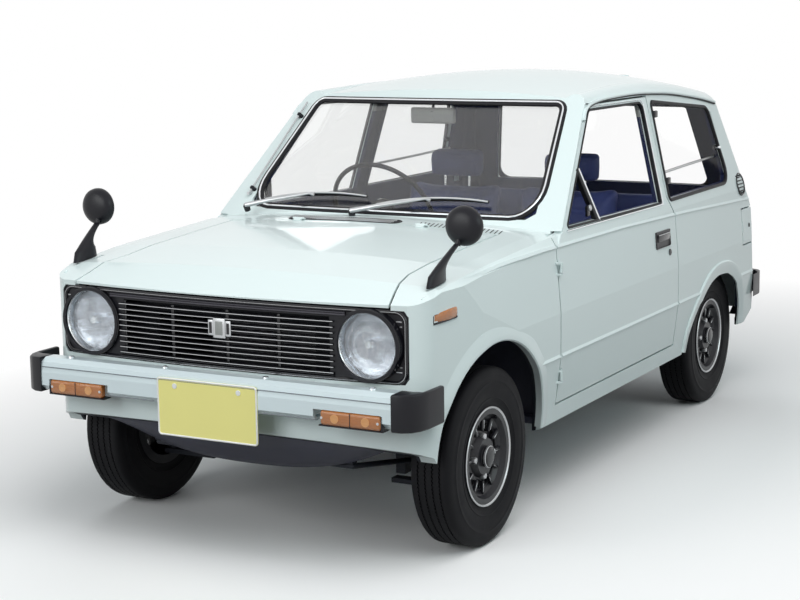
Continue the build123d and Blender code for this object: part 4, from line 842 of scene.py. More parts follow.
for k in range(front["slats"]):
    z = front["slatFrom"] + k * front["slatPitch"]
    bar("slat%02d" % k, z, slatSection, gloss)
    bar("slatEdge%02d" % k, z + 0.0004, edgeSection, steel)
for k, x in enumerate(front["posts"]):
    box("grillePost%d" % k, (x, faceAt(x, 0)[1] + 0.004, 0.622), (0.01, 0.006, 0.158), gloss, 0.0015)
framePath = window(((-0.562, 0.537), (0.562, 0.537), (0.562, 0.727), (-0.562, 0.727)), 0.03)
strip("grilleFrame", framePath, faceAt, frameSection, gloss)
strip("grilleFrameEdge", framePath, faceAt, bead(0.0025, 0.0085, 0), steel)
for k, z in enumerate((0.712, 0.718)):
    bar("topBand%d" % k, z, bead(0.009 - 0.003 * k, 0.006, 0.004), grilleGrey, 1.1)
for k, z in enumerate((0.5415, 0.5475)):
    bar("footBand%d" % k, z, bead(0.005, 0.007, 0.004), gloss)
# turned pieces of a headlamp: name, profile, finish, segments
lampTurned = (
    ("bowl", ((0, 0.085), (-0.006, 0.07), (-0.0085, 0.045), (-0.01, 0)), reflector, 64),
    ("bulbShield", ((0.014, 0), (0.014, 0.01), (0.008, 0.014), (-0.008, 0.015), (-0.008, 0)), chrome, 32),
    ("lampRing", ((0.006, 0.0858), (0.023, 0.0866), (0.0265, 0.0892), (0.023, 0.0918), (0.004, 0.0922),
                  (0.004, 0.0858)), chrome, 96),
    ("bezelLip", ((0.01, 0.0918), (0.026, 0.0932), (0.034, 0.0965), (0.031, 0.0995), (0, 0.101), (0, 0.0918)),
     gloss, 96),
)
lensProfile = ((0.03, 0), (0.029, 0.02), (0.026, 0.042), (0.02, 0.062), (0.011, 0.078), (0.004, 0.0865),
               (-0.002, 0.087), (-0.002, 0.084), (0.002, 0.082), (0.016, 0.06), (0.024, 0.03), (0.026, 0))
for sign, side in sides:
    # short combs between lamp and frame, with bright edges
    for k in range(front["combs"]):
        z = front["combFrom"] + k * front["combPitch"]
        reach = math.sqrt(max(0.0, front["combRing"] ** 2 - (z - front["lampZ"]) ** 2))
        start = front["lampX"] + reach + 0.003
        if front["combEnd"] - start < 0.006:
            continue
        middle = (start + front["combEnd"]) / 2
        y = faceAt(middle, z)[1]
        wide = front["combEnd"] - start
        label = "%s%02d" % (side, k)
        box("comb" + label, (sign * middle, y + 0.002, z), (wide, 0.01, 0.005), grilleGrey, 0.001)
        box("combEdge" + label, (sign * middle, y - 0.0035, z + 0.0008), (wide - 0.002, 0.0016, 0.0022),
            steel, 0.0004)
    spot = (sign * front["lampX"], front["lampY"], front["lampZ"])
    lens = lathe("lensPair" if sign < 0 else "lensOther", lensProfile, spot, ahead, lensGlass, 72)
    if sign < 0:
        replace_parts(lens, "headlamps")
    for name, profile, look, segments in lampTurned:
        lathe(name + side, profile, spot, ahead, look, segments)
# bare emblem blank on its plate: name, centre across and along, size, finish, edge rounding
for name, x, y, size, look, bevel in (
        ("emblemPlate", 0, -1.4185, (0.04, 0.005, 0.056), steel, 0.0025),
        ("emblemField", 0, -1.4212, (0.024, 0.002, 0.038), mirrorShell, 0.0008),
        ("emblemWing0", -0.0285, -1.417, (0.018, 0.005, 0.044), steel, 0.0025),
        ("emblemSlot0", -0.0285, -1.4192, (0.009, 0.003, 0.031), gloss, 0.0008),
        ("emblemWing1", 0.0285, -1.417, (0.018, 0.005, 0.044), steel, 0.0025),
        ("emblemSlot1", 0.0285, -1.4192, (0.009, 0.003, 0.031), gloss, 0.0008)):
    box(name, (x, y, 0.65), size, look, bevel)
print("grille and lamps made")

# bumpers, lamps and plate
# thin dark strip across the bumper face: a painted shade line
box("bumperLine", (0, -1.488, 0.5065), (1.148, 0.004, 0.0022), bumperShade, 0.0008)
bolt = turnedSeed(((0, 0.0085), (0.0025, 0.0085), (0.0045, 0.006), (0.005, 0)), (0, 0, 1), segments=14)
repeated("bumperBolts", rowTree, bolt, chrome, Count=4, Start=(-0.498, -1.446, 0.531), Step=(0.332, 0, 0))
plate = {"half": 0.165, "low": 0.35, "top": 0.514, "faceY": -1.4898, "backY": -1.488, "corner": 0.01,
         "inset": 0.0028, "borderY": -1.4896, "boltX": (-0.105, 0.105), "boltZ": 0.4925}


def plateCorners(x, low, top):
    return ((-x, low), (x, low), (x, top), (-x, top))


def plateBorder(name, x, low, top, y, way):
    path = window(plateCorners(x, low, top), 0.008, 0.05, 5)
    strip(name, path, lambda u, v: (u, y, v), bead(0.0055, 0.0022, 0.001), plateRim, flip=way)


corners = rounded(plateCorners(plate["half"], plate["low"], plate["top"]), plate["corner"], 5)
sheet = [[(p.x, y, p.y) for p in corners] for y in (plate["faceY"], plate["backY"])]
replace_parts(fromWork(prism(*sheet), "plateBlankFront", plateLook, "carBody", 40), "plateFront")
plateBorder("plateBorderFront", plate["half"] - plate["inset"], plate["low"] + plate["inset"],
            plate["top"] - plate["inset"], plate["borderY"], 1)
for k, x in enumerate(plate["boltX"]):
    lathe("plateBolt%d" % k, ((0, 0.0075), (0.002, 0.0075), (0.0022, 0.003), (0.0022, 0)),
          (x, plate["borderY"], plate["boltZ"]), ahead, plateRim, 20)
# boxes at turn lamps and markers: name, place, size, finish and edge rounding
turnLamp = {"x": 0.4525, "z": 0.451, "screws": (0.366, 0.536), "bulbs": (0.406, 0.499)}
turnBoxes = (
    # dark strip on the bumper face beside the turn lamp: a painted shade line
    ("bumperLip", (0.262, -1.4885, 0.4435), (0.168, 0.004, 0.0022), bumperShade, 0.0008),
    ("turnEnd", (0.5465, -1.481, 0.451), (0.006, 0.014, 0.0415), plastic, 0.001),
    ("turnSplit", (0.4525, -1.4905, 0.451), (0.0024, 0.0016, 0.036), plastic, 0.0003),
    ("turnShelf", (0.4525, -1.47, 0.429), (0.196, 0.034, 0.0035), plastic, 0.001),
    ("markerEnd", (tableAt(wingPlan, -1.325) - 0.003, -1.3255, 0.7025), (0.01, 0.006, 0.022), plastic,
     0.0015),
)
screwProfile = ((0, 0.004), (0.0015, 0.0038), (0.002, 0))
bulbProfile = ((-0.002, 0.0125), (0.0006, 0.0125), (0.0009, 0.0105), (0.0004, 0.008), (0.0009, 0))
# side markers: place along, foot, top and how proud; then the section as shares of proud and height
markerRows = ((-1.3235, 0.6925, 0.7115, 0.008), (-1.295, 0.6935, 0.7185, 0.0125),
              (-1.255, 0.6945, 0.722, 0.0135),
              (-1.222, 0.696, 0.7235, 0.013), (-1.2135, 0.6975, 0.7225, 0.0105))
markerSection = ((0.85, 0), (1, 0.3), (1, 0.75), (0.8, 1))
for sign, side in sides:
    for name, (x, y, z), size, look, bevel in turnBoxes:
        box(name + side, (sign * x, y, z), size, look, bevel)
    lens = box("turnLens" + side, (sign * turnLamp["x"], -1.478, turnLamp["z"]), (0.184, 0.0255, 0.0405),
               amberLens,
               0.008, None, 4)
    if sign < 0:
        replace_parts(lens, "amberLamps")
    for k, x in enumerate(turnLamp["screws"]):
        spot = (sign * x, -1.4896, turnLamp["z"])
        lathe("turnScrew%s%d" % (side, k), screwProfile, spot, ahead, steel, 12)
    for k, x in enumerate(turnLamp["bulbs"]):
        spot = (sign * x, -1.4909, turnLamp["z"])
        lathe("turnBulb%s%d" % (side, k), bulbProfile, spot, ahead, amberBulb, 32)
    # tapered amber lens on a dark foot
    verts = []
    for y, low, top, proud in markerRows:
        flankX = tableAt(wingPlan, y) + sideX(0.706) - form["widest"]
        verts.append((sign * (flankX - 0.01), y, low))
        verts += [(sign * (flankX + proud * out), y, low + up * (top - low)) for out, up in markerSection]
        verts.append((sign * (flankX - 0.01), y, top))
    meshPiece("markerLens" + side, verts, sleeve(len(markerRows), 6, False, capped=True), amberLens, 30)
    shade = [Vector((y, low - 0.0015)) for y, low, top, proud in markerRows]
    footSection = ((-0.0025, -0.004), (-0.0025, 0.01), (0.0025, 0.011), (0.0025, -0.004))
    strip("markerFoot" + side, shade, wingFlank(sign), footSection, plastic, False, sign)

# splash panel under the nose: one bowed sheet
splash = {"half": 0.45, "topY": -1.372, "topZ": 0.352, "lowY": -1.288, "lowZ": 0.238, "endRise": 0.085,
          "wall": 0.003, "rows": 7, "across": 25, "endBend": 2.6, "curl": 1.6}
verts = []
rows, across = splash["rows"], splash["across"]
for back in (0, splash["wall"]):
    for k in range(rows):
        t = k / (rows - 1)
        for m in range(across):
            u = m / (across - 1) * 2 - 1
            low = splash["lowZ"] + splash["endRise"] * abs(u) ** splash["endBend"]
            y = splash["topY"] + (splash["lowY"] - splash["topY"]) * t ** splash["curl"]
            verts.append((splash["half"] * u, y + back, splash["topZ"] + (low - splash["topZ"]) * t))
sheet = rows * across
faces = []
for a, b, c, d in sleeve(rows, across, False, False):
    faces += [(a, b, c, d), (a + sheet, d + sheet, c + sheet, b + sheet)]
last = (rows - 1) * across
edge = list(range(across)) + [k * across + across - 1 for k in range(1, rows)]
edge += list(range(last + across - 2, last - 1, -1)) + [k * across for k in range(rows - 2, 0, -1)]
faces += [(a, b, b + sheet, a + sheet) for a, b in zip(edge, edge[1:] + edge[:1])]
meshPiece("splashPanel", verts, faces, splashLook, 50)

# wing mirrors: domed head on a blade stalk
mirror = {"head": (0.618, -1.15, 0.931), "foot": (0.588, -1.262, 0.808), "neck": (0.607, -1.166, 0.885),
          "rows": 14, "points": 20, "footLong": 0.04, "topLong": 0.0135, "footWide": 0.005, "topWide": 0.0075}
headProfile = ((-0.012, 0), (-0.012, 0.05), (-0.0105, 0.0545), (-0.004, 0.055), (0.004, 0.0535),
               (0.012, 0.048),
               (0.019, 0.036), (0.0225, 0.02), (0.0235, 0))
paneProfile = ((-0.0122, 0), (-0.0122, 0.047), (-0.0135, 0.046), (-0.014, 0))
jointProfile = ((-0.008, 0), (-0.008, 0.008), (0, 0.0105), (0.008, 0.008), (0.008, 0))
for sign, side in sides:
    spot, foot, neck = (Vector((sign * x, y, z)) for x, y,
                        z in (mirror["head"], mirror["foot"], mirror["neck"]))
    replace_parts(lathe("mirrorHead" + side, headProfile, spot, ahead, plastic, 64), "wingMirrors")
    lathe("mirrorFace" + side, paneProfile, spot, ahead, mirrorGlass, 64)
    # stalk is a blade, long fore and aft at its foot
    verts = []
    for k in range(mirror["rows"]):
        t = k / (mirror["rows"] - 1)
        reach = mirror["topLong"] + mirror["footLong"] * (1 - t) ** 2.4
        middle = foot.lerp(neck, t)
        nose = foot.y - 0.047 + (neck.y + 0.047 - foot.y - mirror["topLong"]) * t
        sunk = 0.022 if k == 0 else 0
        wide = mirror["topWide"] + mirror["footWide"] * (1 - t)
        for turn in around(mirror["points"]):
            rise = 0.1 * (1 - t) * reach * math.sin(turn)
            y = nose + reach * (1 + math.sin(turn))
            verts.append((middle.x + math.cos(turn) * wide, y, middle.z - sunk + rise))
    faces = sleeve(mirror["rows"], mirror["points"], False, capped=True)
    meshPiece("mirrorStalk" + side, verts, faces, plastic, 50)
    bend = [neck + Vector((0, 0, -0.006)), (sign * 0.611, -1.16, 0.902), (sign * 0.613, -1.158, 0.914)]
    tube("mirrorNeck" + side, bend, [0.0085, 0.0075, 0.007], plastic, 14)
    lathe("mirrorJoint" + side, jointProfile, (sign * 0.611, -1.16, 0.905), (0, 0.3, 1), plastic, 24)

# wipers: silver arms, framed blades
wiper = {"pivots": ((-0.487, -0.54), (-0.083, -0.548)), "tips": ((-0.128, 0.906), (0.33, 0.906)),
         "pivotZ": 0.872, "restZ": 0.884, "halfBlade": 0.19, "armRadii": (0.0085, 0.004)}
capProfile = ((-0.014, 0), (-0.014, 0.01), (0.004, 0.011), (0.01, 0.008), (0.011, 0))
for k, ((px, py), (tx, tz)) in enumerate(zip(wiper["pivots"], wiper["tips"])):
    base = Vector((px, py - 0.006, wiper["pivotZ"]))
    cap = lathe("wiperCap%d" % k, capProfile, base, (0, -0.5, 1), gloss, 28)
    if k == 0:
        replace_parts(cap, "wipers")
    middle = Vector(screenAt((px + tx) / 2 + 0.03,
                             (wiper["restZ"] + tz) / 2 + 0.012)) + Vector((0, -0.03, 0.012))
    hook = middle + Vector((0.012, 0.004, -0.006))
    bend = [base + Vector((0, -0.006, 0.006)), base.lerp(middle, 0.35) + Vector((0, -0.01, 0.006)), middle]
    arm = resampled(bend, 0.02, False)
    thick, thin = wiper["armRadii"]
    radii = [thick - (thick - thin) * j / (len(arm) - 1) for j in range(len(arm))]
    tube("wiperArm%d" % k, arm, radii, steel)
    tube("wiperHook%d" % k, [middle, hook], 0.0055, steel)
    climb = (tz - wiper["restZ"]) / max(0.2, tx - px)
    spine, blade = [], []
    for j in range(13):
        t = j / 12 * 2 - 1
        out = t * wiper["halfBlade"]
        spot = Vector(screenAt(hook.x + out, hook.z - 0.006 + out * climb - 0.01 * t * t))
        spine.append(spot + Vector((0, -0.016 + 0.006 * t * t, 0.013 - 0.006 * t * t)))
        blade.append(spot + Vector((0, -0.0065, 0.0058)))
    tube("bladeSpine%d" % k, spine, 0.0032, steel, 8)
    tube("bladeRubber%d" % k, blade, 0.0048, rubber, 8)

# cowl mesh over a dark sheet of painted shade in the opening, and the cut louvres beside it, drawn as dark
# slots of painted shade
mesh = {"rows": 5, "fromY": -0.634, "pitchY": 0.01, "count": 54, "fromX": -0.268, "pitchX": 0.007}
louvre = {"count": 20, "from": 0.196, "pitch": 0.0145, "y": -0.6145, "size": (0.0032, 0.048, 0.001),
          "turn": 12}
slotPath = window(((-0.272, -0.641), (0.128, -0.641), (0.128, -0.588), (-0.272, -0.588)), 0.024, 0.02)
field = [[Vector(deckAt(p.x, p.y)) + Vector((0, 0, rise)) for p in slotPath] for rise in (0.0008, -0.0012)]
fromWork(prism(*field), "cowlOpening", dark, "carBody", 40)
strip("cowlLip", slotPath, deckAt, bead(0.005, 0.0022, 0.001), rubber)
for row in range(mesh["rows"]):
    y = mesh["fromY"] + row * mesh["pitchY"]
    start = (mesh["fromX"] + mesh["pitchX"] / 2 * (row % 2), y, deckAt(-0.08, y)[2] + 0.0012)
    wire = seed((0.0042, 0.0075, 0.0016), 0.0006)
    repeated("cowlMesh%d" % row, rowTree, wire, steel, Count=mesh["count"], Start=start,
             Step=(mesh["pitchX"], 0, 0))
cut = seed(louvre["size"], 0.0004, turn=Matrix.Rotation(math.radians(louvre["turn"]), 3, "Z"))
louvres = repeated("cowlLouvres", rowTree, cut, dark, Count=louvre["count"],
                   Start=(louvre["from"], louvre["y"], 0),
                   Step=(louvre["pitch"], 0, 0))
for vertex in louvres.data.vertices:
    vertex.co.z += deckAt(vertex.co.x, vertex.co.y)[2] + 0.0005
print("bumpers, mirrors, wipers and cowl made")


# road wheels
wheel = {"tyreR": 0.257, "grooves": (-0.033, -0.011, 0.011, 0.033), "grooveWidth": 0.0042,
         "grooveDepth": 0.0055,
         "zigzag": 0.002, "zigzags": 132, "ribs": 12, "ribRing": 0.092, "nuts": 4, "nutRing": 0.0575,
         "trackFront": 0.558, "trackRear": 0.526, "valveRing": 0.115, "valveAt": 0.5}
# tyre section from the bead to the first groove: sideways, radius
wallRows = ((-0.054, 0.1275), (-0.054, 0.149), (-0.0575, 0.163), (-0.06, 0.166), (-0.0612, 0.168),
            (-0.06, 0.1705),
            (-0.0625, 0.187), (-0.0636, 0.204), (-0.0632, 0.212), (-0.064, 0.2135), (-0.064, 0.2155),
            (-0.063, 0.217), (-0.0622, 0.231), (-0.0602, 0.2425), (-0.056, 0.251), (-0.05, 0.2555),
            (-0.044, 0.2566))
# turned pieces of a wheel: name, profile, finish, segments
rimTurned = (
    ("rimLip",
     ((0.0562, 0.1425), (0.0575, 0.143), (0.059, 0.1415), (0.0588, 0.1385), (0.0572, 0.137), (0.053, 0.1345),
                (0.044, 0.129), (0.042, 0.115), (0.0408, 0.115), (0.0412, 0.13), (0.054, 0.14)), steel, 96),
    ("discRing",
     ((0.03, 0.102), (0.0335, 0.099), (0.0345, 0.095), (0.032, 0.093), (0.026, 0.094), (0.026, 0.102)),
     wheelPaint, 96),
    ("hubCap", ((0.05, 0.0305), (0.06, 0.03), (0.0635, 0.027), (0.065, 0.021), (0.0655, 0), (0.05, 0)), gloss,
     48),
    ("hubRing", ((0.057, 0.0322), (0.0612, 0.0316), (0.0622, 0.0296), (0.06, 0.029), (0.057, 0.0296)), steel,
     48),
)
nutProfile = ((0.03, 0.0105), (0.0445, 0.0105), (0.048, 0.008), (0.049, 0))


def treadPiece(name, x, y, body):
    # sideways, radius and share of the zigzag, all round the section
    rows = [(sx, r, 0) for sx, r in wallRows]
    half, deep = wheel["grooveWidth"] / 2, wheel["grooveDepth"]
    for spot in wheel["grooves"]:
        crown = wheel["tyreR"] - 0.0004 * abs(spot) / 0.033
        rows += [(spot - half, crown, 1), (spot - half * 0.7, crown - deep, 1),
                 (spot + half * 0.7, crown - deep, 1),
                 (spot + half, crown, 1)]
    rows += [(-sx, r, 0) for sx, r in reversed(wallRows)]
    verts = []
    count = wheel["zigzags"] * 2
    for i, angle in enumerate(around(count)):
        swing = wheel["zigzag"] * (1 if i % 2 else -1)
        for sx, r, share in rows:
            verts.append((x + sx + swing * share, y + math.sin(angle) * r,
                          wheel["tyreR"] + math.cos(angle) * r))
    return meshPiece(name, verts, sleeve(count, len(rows)), treadLook, 32.0, body)


for end, track, y in (("Front", wheel["trackFront"], -1.0), ("Rear", wheel["trackRear"], 1.0)):
    for sign, side in sides:
        corner = end + side
        body = "wheel" + corner
        hub = (sign * track, y, wheel["tyreR"])
        outward = (sign, 0, 0)
        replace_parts(treadPiece("tread" + corner, hub[0], y, body), "tyre" + corner)
        for name, profile, look, segments in rimTurned:
            lathe(name + corner, profile, hub, outward, look, segments, body)
        rib = seed((0.012, 0.009, 0.04), 0.0035, (sign * 0.036, 0, wheel["ribRing"]), 3)
        repeated("discRibs" + corner, ringTree, rib, wheelPaint, body, Count=wheel["ribs"], Start=hub)
        # silver strips along the rib edges: painted highlights where light catches the pressed ribs
        edge = seed((0.0016, 0.0016, 0.026), 0.0006, (sign * 0.0418, 0.0036, wheel["ribRing"]), 1)
        repeated("ribEdges" + corner, ringTree, edge, steel, body, Count=wheel["ribs"], Start=hub)
        nut = turnedSeed(nutProfile, outward, (0, 0, wheel["nutRing"]), 6)
        repeated("wheelNuts" + corner, ringTree, nut, steel, body, Count=wheel["nuts"], Start=hub)
        turn = wheel["valveAt"]
        stem = Vector(hub) + Vector((sign * 0.04, math.sin(turn) * wheel["valveRing"],
                                     math.cos(turn) * wheel["valveRing"]))
        tube("valve" + corner, [stem, stem + Vector((sign * 0.02, 0, 0))], [0.0035, 0.0028], rubber,
             body=body)
print("wheels made")


# seats
seat = {"x": 0.232, "voxel": 0.006, "benchVoxel": 0.009, "pressure": 4.0, "frames": 20, "fill": 0.85,
        "seamDepth": 0.0045, "seamWidth": 0.006, "baseSize": (0.3, 0.34, 0.142),
        "railSize": (0.03, 0.42, 0.012)}


def puffed(blank, voxel, cap):
    # voxel skin blown up as cloth, each point's travel capped
    remesh = blank.modifiers.new("skin", "REMESH")
    remesh.mode = "VOXEL"
    remesh.voxel_size = voxel
    name = blank.name
    mesh = grownFrom(blank)
    made = placed(name, mesh)
    cloth = made.modifiers.new("cloth", "CLOTH")
    cloth.settings.use_pressure = True
    cloth.settings.uniform_pressure_force = seat["pressure"]
    cloth.settings.quality = 4
    cloth.settings.effector_weights.gravity = 0.0
    cloth.point_cache.frame_start = 1
    cloth.point_cache.frame_end = seat["frames"]
    scene = bpy.context.scene
    for step in range(1, seat["frames"] + 1):
        scene.frame_set(step)
    grown = made.evaluated_get(bpy.context.evaluated_depsgraph_get()).to_mesh()
    moved = [v.co.copy() for v in grown.vertices]
    made.modifiers.clear()
    for vertex, spot in zip(mesh.vertices, moved):
        travel = spot - vertex.co
        if travel.length > cap:
            travel = travel.normalized() * cap
        vertex.co += travel
    scene.frame_set(1)
    return made


def seamed(made, distance):
    # press the sewn lines in: distance gives how far a point is from the nearest one, None off the sewn face
    mesh = made.data
    normals = [v.normal.copy() for v in mesh.vertices]
    for vertex, normal in zip(mesh.vertices, normals):
        gap = distance(vertex.co, normal)
        if gap is not None and gap < 3 * seat["seamWidth"]:
            vertex.co -= normal * seat["seamDepth"] * math.exp(-(gap / seat["seamWidth"]) ** 2)


def finishedPad(made, node=None):
    made.data.materials.clear()
    made.data.materials.append(vinyl)
    made.data.shade_smooth()
    smooth = made.modifiers.new("smooth", "SUBSURF")
    smooth.levels = 1
    smooth.render_levels = 1
    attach(made, "carBody")
    if node:
        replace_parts(made, node)


def copyAcross(made, name):
    mesh = made.data.copy()
    for vertex in mesh.vertices:
        vertex.co.x = -vertex.co.x
    facedOut(mesh)
    return placed(name, mesh)


def padBlank(name, outline, x, half, bevel):
    # extruded outline in the side view, edges rounded
    work = prism([(x - half, y, z) for y, z in outline], [(x + half, y, z) for y, z in outline])
    edged(work, work.edges[:], bevel, 4)
    return fromWork(work, name)


cushionSide = [(-0.048, 0.452), (-0.056, 0.535), (-0.03, 0.552), (0.325, 0.522), (0.37, 0.5), (0.385, 0.445),
               (0.36, 0.432)]
backSide = [(0.345, 0.53), (0.392, 0.5), (0.44, 0.548), (0.505, 0.85), (0.492, 0.864), (0.468, 0.866),
            (0.44, 0.85)]
restSide = [(0.46, 0.89), (0.454, 0.95), (0.462, 0.98), (0.51, 0.984), (0.514, 0.98), (0.518, 0.94),
            (0.51, 0.892)]


def cushionSeam(spot, normal):
    if normal.z < 0.6:
        return None
    return min(abs(abs(spot.x - seat["x"]) - 0.13),
               abs(spot.y - 0.065) if abs(spot.x - seat["x"]) < 0.13 else 1.0)


def backSeam(spot, normal):
    if normal.y > -0.5:
        return None
    side = abs(spot.x - seat["x"])
    return min(abs(side - 0.13) if spot.z < 0.79 else 1.0, abs(spot.z - 0.79) if side < 0.13 else 1.0)


def restSeam(spot, normal):
    if abs(normal.y) < 0.5:
        return None
    side = abs(spot.x - seat["x"])
    return min(abs(side - 0.08) if abs(spot.z - 0.936) < 0.032 else 1.0,
               abs(abs(spot.z - 0.936) - 0.032) if side < 0.08 else 1.0)


for label, outline, half, bevel, cap, seam in (("seatCushion", cushionSide, 0.19, 0.022, 0.016, cushionSeam),
                                              ("seatBack", backSide, 0.19, 0.02, 0.014, backSeam),
                                              ("headRest", restSide, 0.1, 0.014, 0.008, restSeam)):
    pad = puffed(padBlank(label + "Left", outline, seat["x"], half, bevel), seat["voxel"], cap)
    seamed(pad, seam)
    finishedPad(copyAcross(pad, label + "Right"))
    finishedPad(pad, "frontSeats")
print("front seats padded")
benchSide = [(0.612, 0.494), (0.606, 0.548), (0.622, 0.562), (0.96, 0.552), (0.964, 0.5)]
benchBack = [(0.974, 0.505), (0.978, 0.79), (0.99, 0.8), (1.02, 0.796), (1.022, 0.505)]


def benchLines(spot):
    return min(abs(spot.x), abs(abs(spot.x) - 0.21))


def benchSeam(spot, normal):
    return None if normal.z < 0.6 else benchLines(spot)


def benchBackSeam(spot, normal):
    return None if normal.y > -0.5 else benchLines(spot)


for label, outline, cap, seam in (("rearCushion", benchSide, 0.01, benchSeam),
                                  ("rearBack", benchBack, 0.007, benchBackSeam)):
    pad = puffed(padBlank(label, outline, 0.0, 0.405, 0.012), seat["benchVoxel"], cap)
    seamed(pad, seam)
    finishedPad(pad, "rearSeat")
print("rear seat padded")
for sign, side in sides:
    x = sign * seat["x"]
    box("seatBase" + side, (x + sign * 0.01, 0.16, 0.362), seat["baseSize"], chassis, 0.01)
    for k, offset in enumerate((-0.05, 0.05)):
        tube("restRod%s%d" % (side, k), [(x + offset, 0.484, 0.845), (x + offset, 0.488, 0.905)], 0.005,
             chrome, 12)
    for k, offset in enumerate((-0.13, 0.13)):
        box("seatRail%s%d" % (side, k), (x + offset, 0.17, 0.2965), seat["railSize"], steel, 0.002)


# dashboard, controls
hood = rounded([(-0.405, 0.8), (-0.128, 0.8), (-0.128, 0.845), (-0.405, 0.845)], 0.02, 4)
ends = [[(p.x, y, p.y - drop) for p in hood] for y, drop in ((-0.42, 0.012), (-0.322, 0.0))]
fromWork(prism(*ends), "gaugeHood", dashLook, "carBody", 40)
gauge = {"x": (-0.33, -0.205), "y": -0.322, "z": 0.8225, "marks": 12, "needleLean": 40}
for k, x in enumerate(gauge["x"]):
    y, z = gauge["y"], gauge["z"]
    lathe("gaugeRing%d" % k, ((0, 0.0185), (0.004, 0.019), (0.005, 0.0175), (0.004, 0.0165), (0, 0.0165)),
          (x, y, z),
          (0, 1, 0), chrome, 40)
    lathe("gaugeFace%d" % k, ((0, 0.0168), (0.001, 0.0165), (0.001, 0)), (x, y, z), (0, 1, 0), dark, 32)
    mark = seed((0.001, 0.001, 0.0035), 0.0002, (0, 0, 0.0135))
    marks = repeated("gaugeMarks%d" % k, ringTree, mark, plateRim, Count=gauge["marks"], Start=(0, 0, 0))
    for vertex in marks.data.vertices:
        deep, across, tall = vertex.co
        vertex.co = Vector((x + across, y + 0.0015 + deep, z + tall))
    box("gaugeNeedle%d" % k, (x + 0.004, y + 0.0017, z + 0.0037), (0.0011, 0.0008, 0.013), amberLens, 0.0002,
        tilt(y=gauge["needleLean"]))
# dash vent slots drawn as dark bars of painted shade
slot = seed((0.12, 0.003, 0.004), 0.001)
repeated("dashVents", rowTree, slot, dark, Count=5, Start=(0.02, -0.3215, 0.755), Step=(0, 0.001, 0.0075))
# solid pieces of the cabin: name, centre, size, finish, edge rounding, lean in degrees
cabinBoxes = [
    ("gloveLid", (0.3, -0.331, 0.715), (0.3, 0.006, 0.085), dashLook, 0.004, -12),
    ("glovePull", (0.3, -0.324, 0.738), (0.04, 0.008, 0.01), chrome, 0.002, 0),
    ("radioBlank", (0.02, -0.33, 0.718), (0.15, 0.006, 0.05), gloss, 0.003, -12),
    ("mirrorPane", (-0.0425, -0.054, 1.149), (0.156, 0.003, 0.044), mirrorGlass, 0.001, 0),
]
# turned pieces: name, profile, centre, axis, finish, segments
knobProfile = ((0, 0.009), (0.012, 0.0085), (0.014, 0.006), (0.0145, 0))
cabinTurned = [("dashKnob%d" % k, knobProfile, (x, -0.324, 0.745), (0, 1, 0), plastic, 20)
               for k, x in enumerate((-0.115, -0.085, 0.105, 0.125))]
cabinTurned += [
    ("gearKnob", ((-0.018, 0), (-0.016, 0.01), (0, 0.018), (0.012, 0.017), (0.019, 0.009), (0.021, 0)),
     (-0.011, -0.097, 0.572), (-0.1, 0.3, 1), gloss, 32),
    ("gearGaiter", ((-0.01, 0.05), (0.004, 0.048), (0.016, 0.036), (0.03, 0.026), (0.05, 0.014), (0.052, 0),
                    (-0.01, 0)), (0, -0.15, 0.39), (0, 0.1, 1), rubber, 32),
    ("mirrorMount", ((0, 0.016), (-0.006, 0.0155), (-0.008, 0)), (-0.043, -0.05, 1.228), (0, 0.1, 1), plastic,
     24),
]
# bent rods: name, points, radii, finish, sides
cabinRods = [
    ("gearLever", ((0, -0.15, 0.4), (-0.004, -0.13, 0.5), (-0.01, -0.1, 0.56)), (0.006, 0.0055, 0.005),
     chrome, 12),
    ("handBrake", ((0, 0.06, 0.4), (0, 0.16, 0.425), (0, 0.235, 0.445)), (0.009, 0.011, 0.01), plastic, 12),
    ("mirrorStem", ((-0.0425, -0.07, 1.16), (-0.043, -0.058, 1.19), (-0.043, -0.05, 1.222)),
     (0.005, 0.0045, 0.006),
     plastic, 12),
]
for k, (x, wide) in enumerate(((-0.165, 0.045), (-0.265, 0.05), (-0.35, 0.05))):
    cabinBoxes.append(("pedalPad%d" % k, (x, -0.47, 0.4), (wide, 0.01, 0.06), rubber, 0.004, -35))
    cabinRods.append(("pedalArm%d" % k, ((x, -0.476, 0.41), (x, -0.53, 0.52), (x, -0.545, 0.64)), 0.006,
                      chassis, 8))
for *row, lean in cabinBoxes:
    box(*row, tilt(lean))
for row in cabinTurned:
    lathe(*row)
for row in cabinRods:
    tube(*row)
# steering wheel hub pad with a bright ring
column = math.radians(28)
axis = (0, math.cos(column), math.sin(column))
hubSpot = (-0.262, -0.026, 0.812)
for name, profile, look, segments in (
        ("hornPad", ((0.01, 0.04), (0.02, 0.038), (0.025, 0.03), (0.0265, 0), (0.01, 0)), plastic, 40),
        ("hornRing", ((0.01, 0.0415), (0.0145, 0.0412), (0.0155, 0.0395), (0.01, 0.0395)), chrome, 48)):
    lathe(name, profile, hubSpot, axis, look, segments, "steeringWheelBody")
# case of the rear-view mirror
case = box("mirrorCase", (-0.0425, -0.064, 1.149), (0.168, 0.018, 0.054), mirrorShell, 0.008, None, 4)
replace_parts(case, "interiorMirror")
print("cabin fitted")


def keyLock(name, side, spot, axis, radius, proud, look, slotAt, slotSize, body):
    # turned barrel with an upright slot, drawn as a dark bar of painted shade
    profile = ((-0.004, radius), (proud - 0.0015, radius), (proud, radius - 0.0015), (proud, 0))
    lathe(name + side, profile, spot, axis, look, 28, body)
    box(name + "Slot" + side, Vector(spot) + Vector(slotAt), slotSize, dark, 0.0002, body=body)


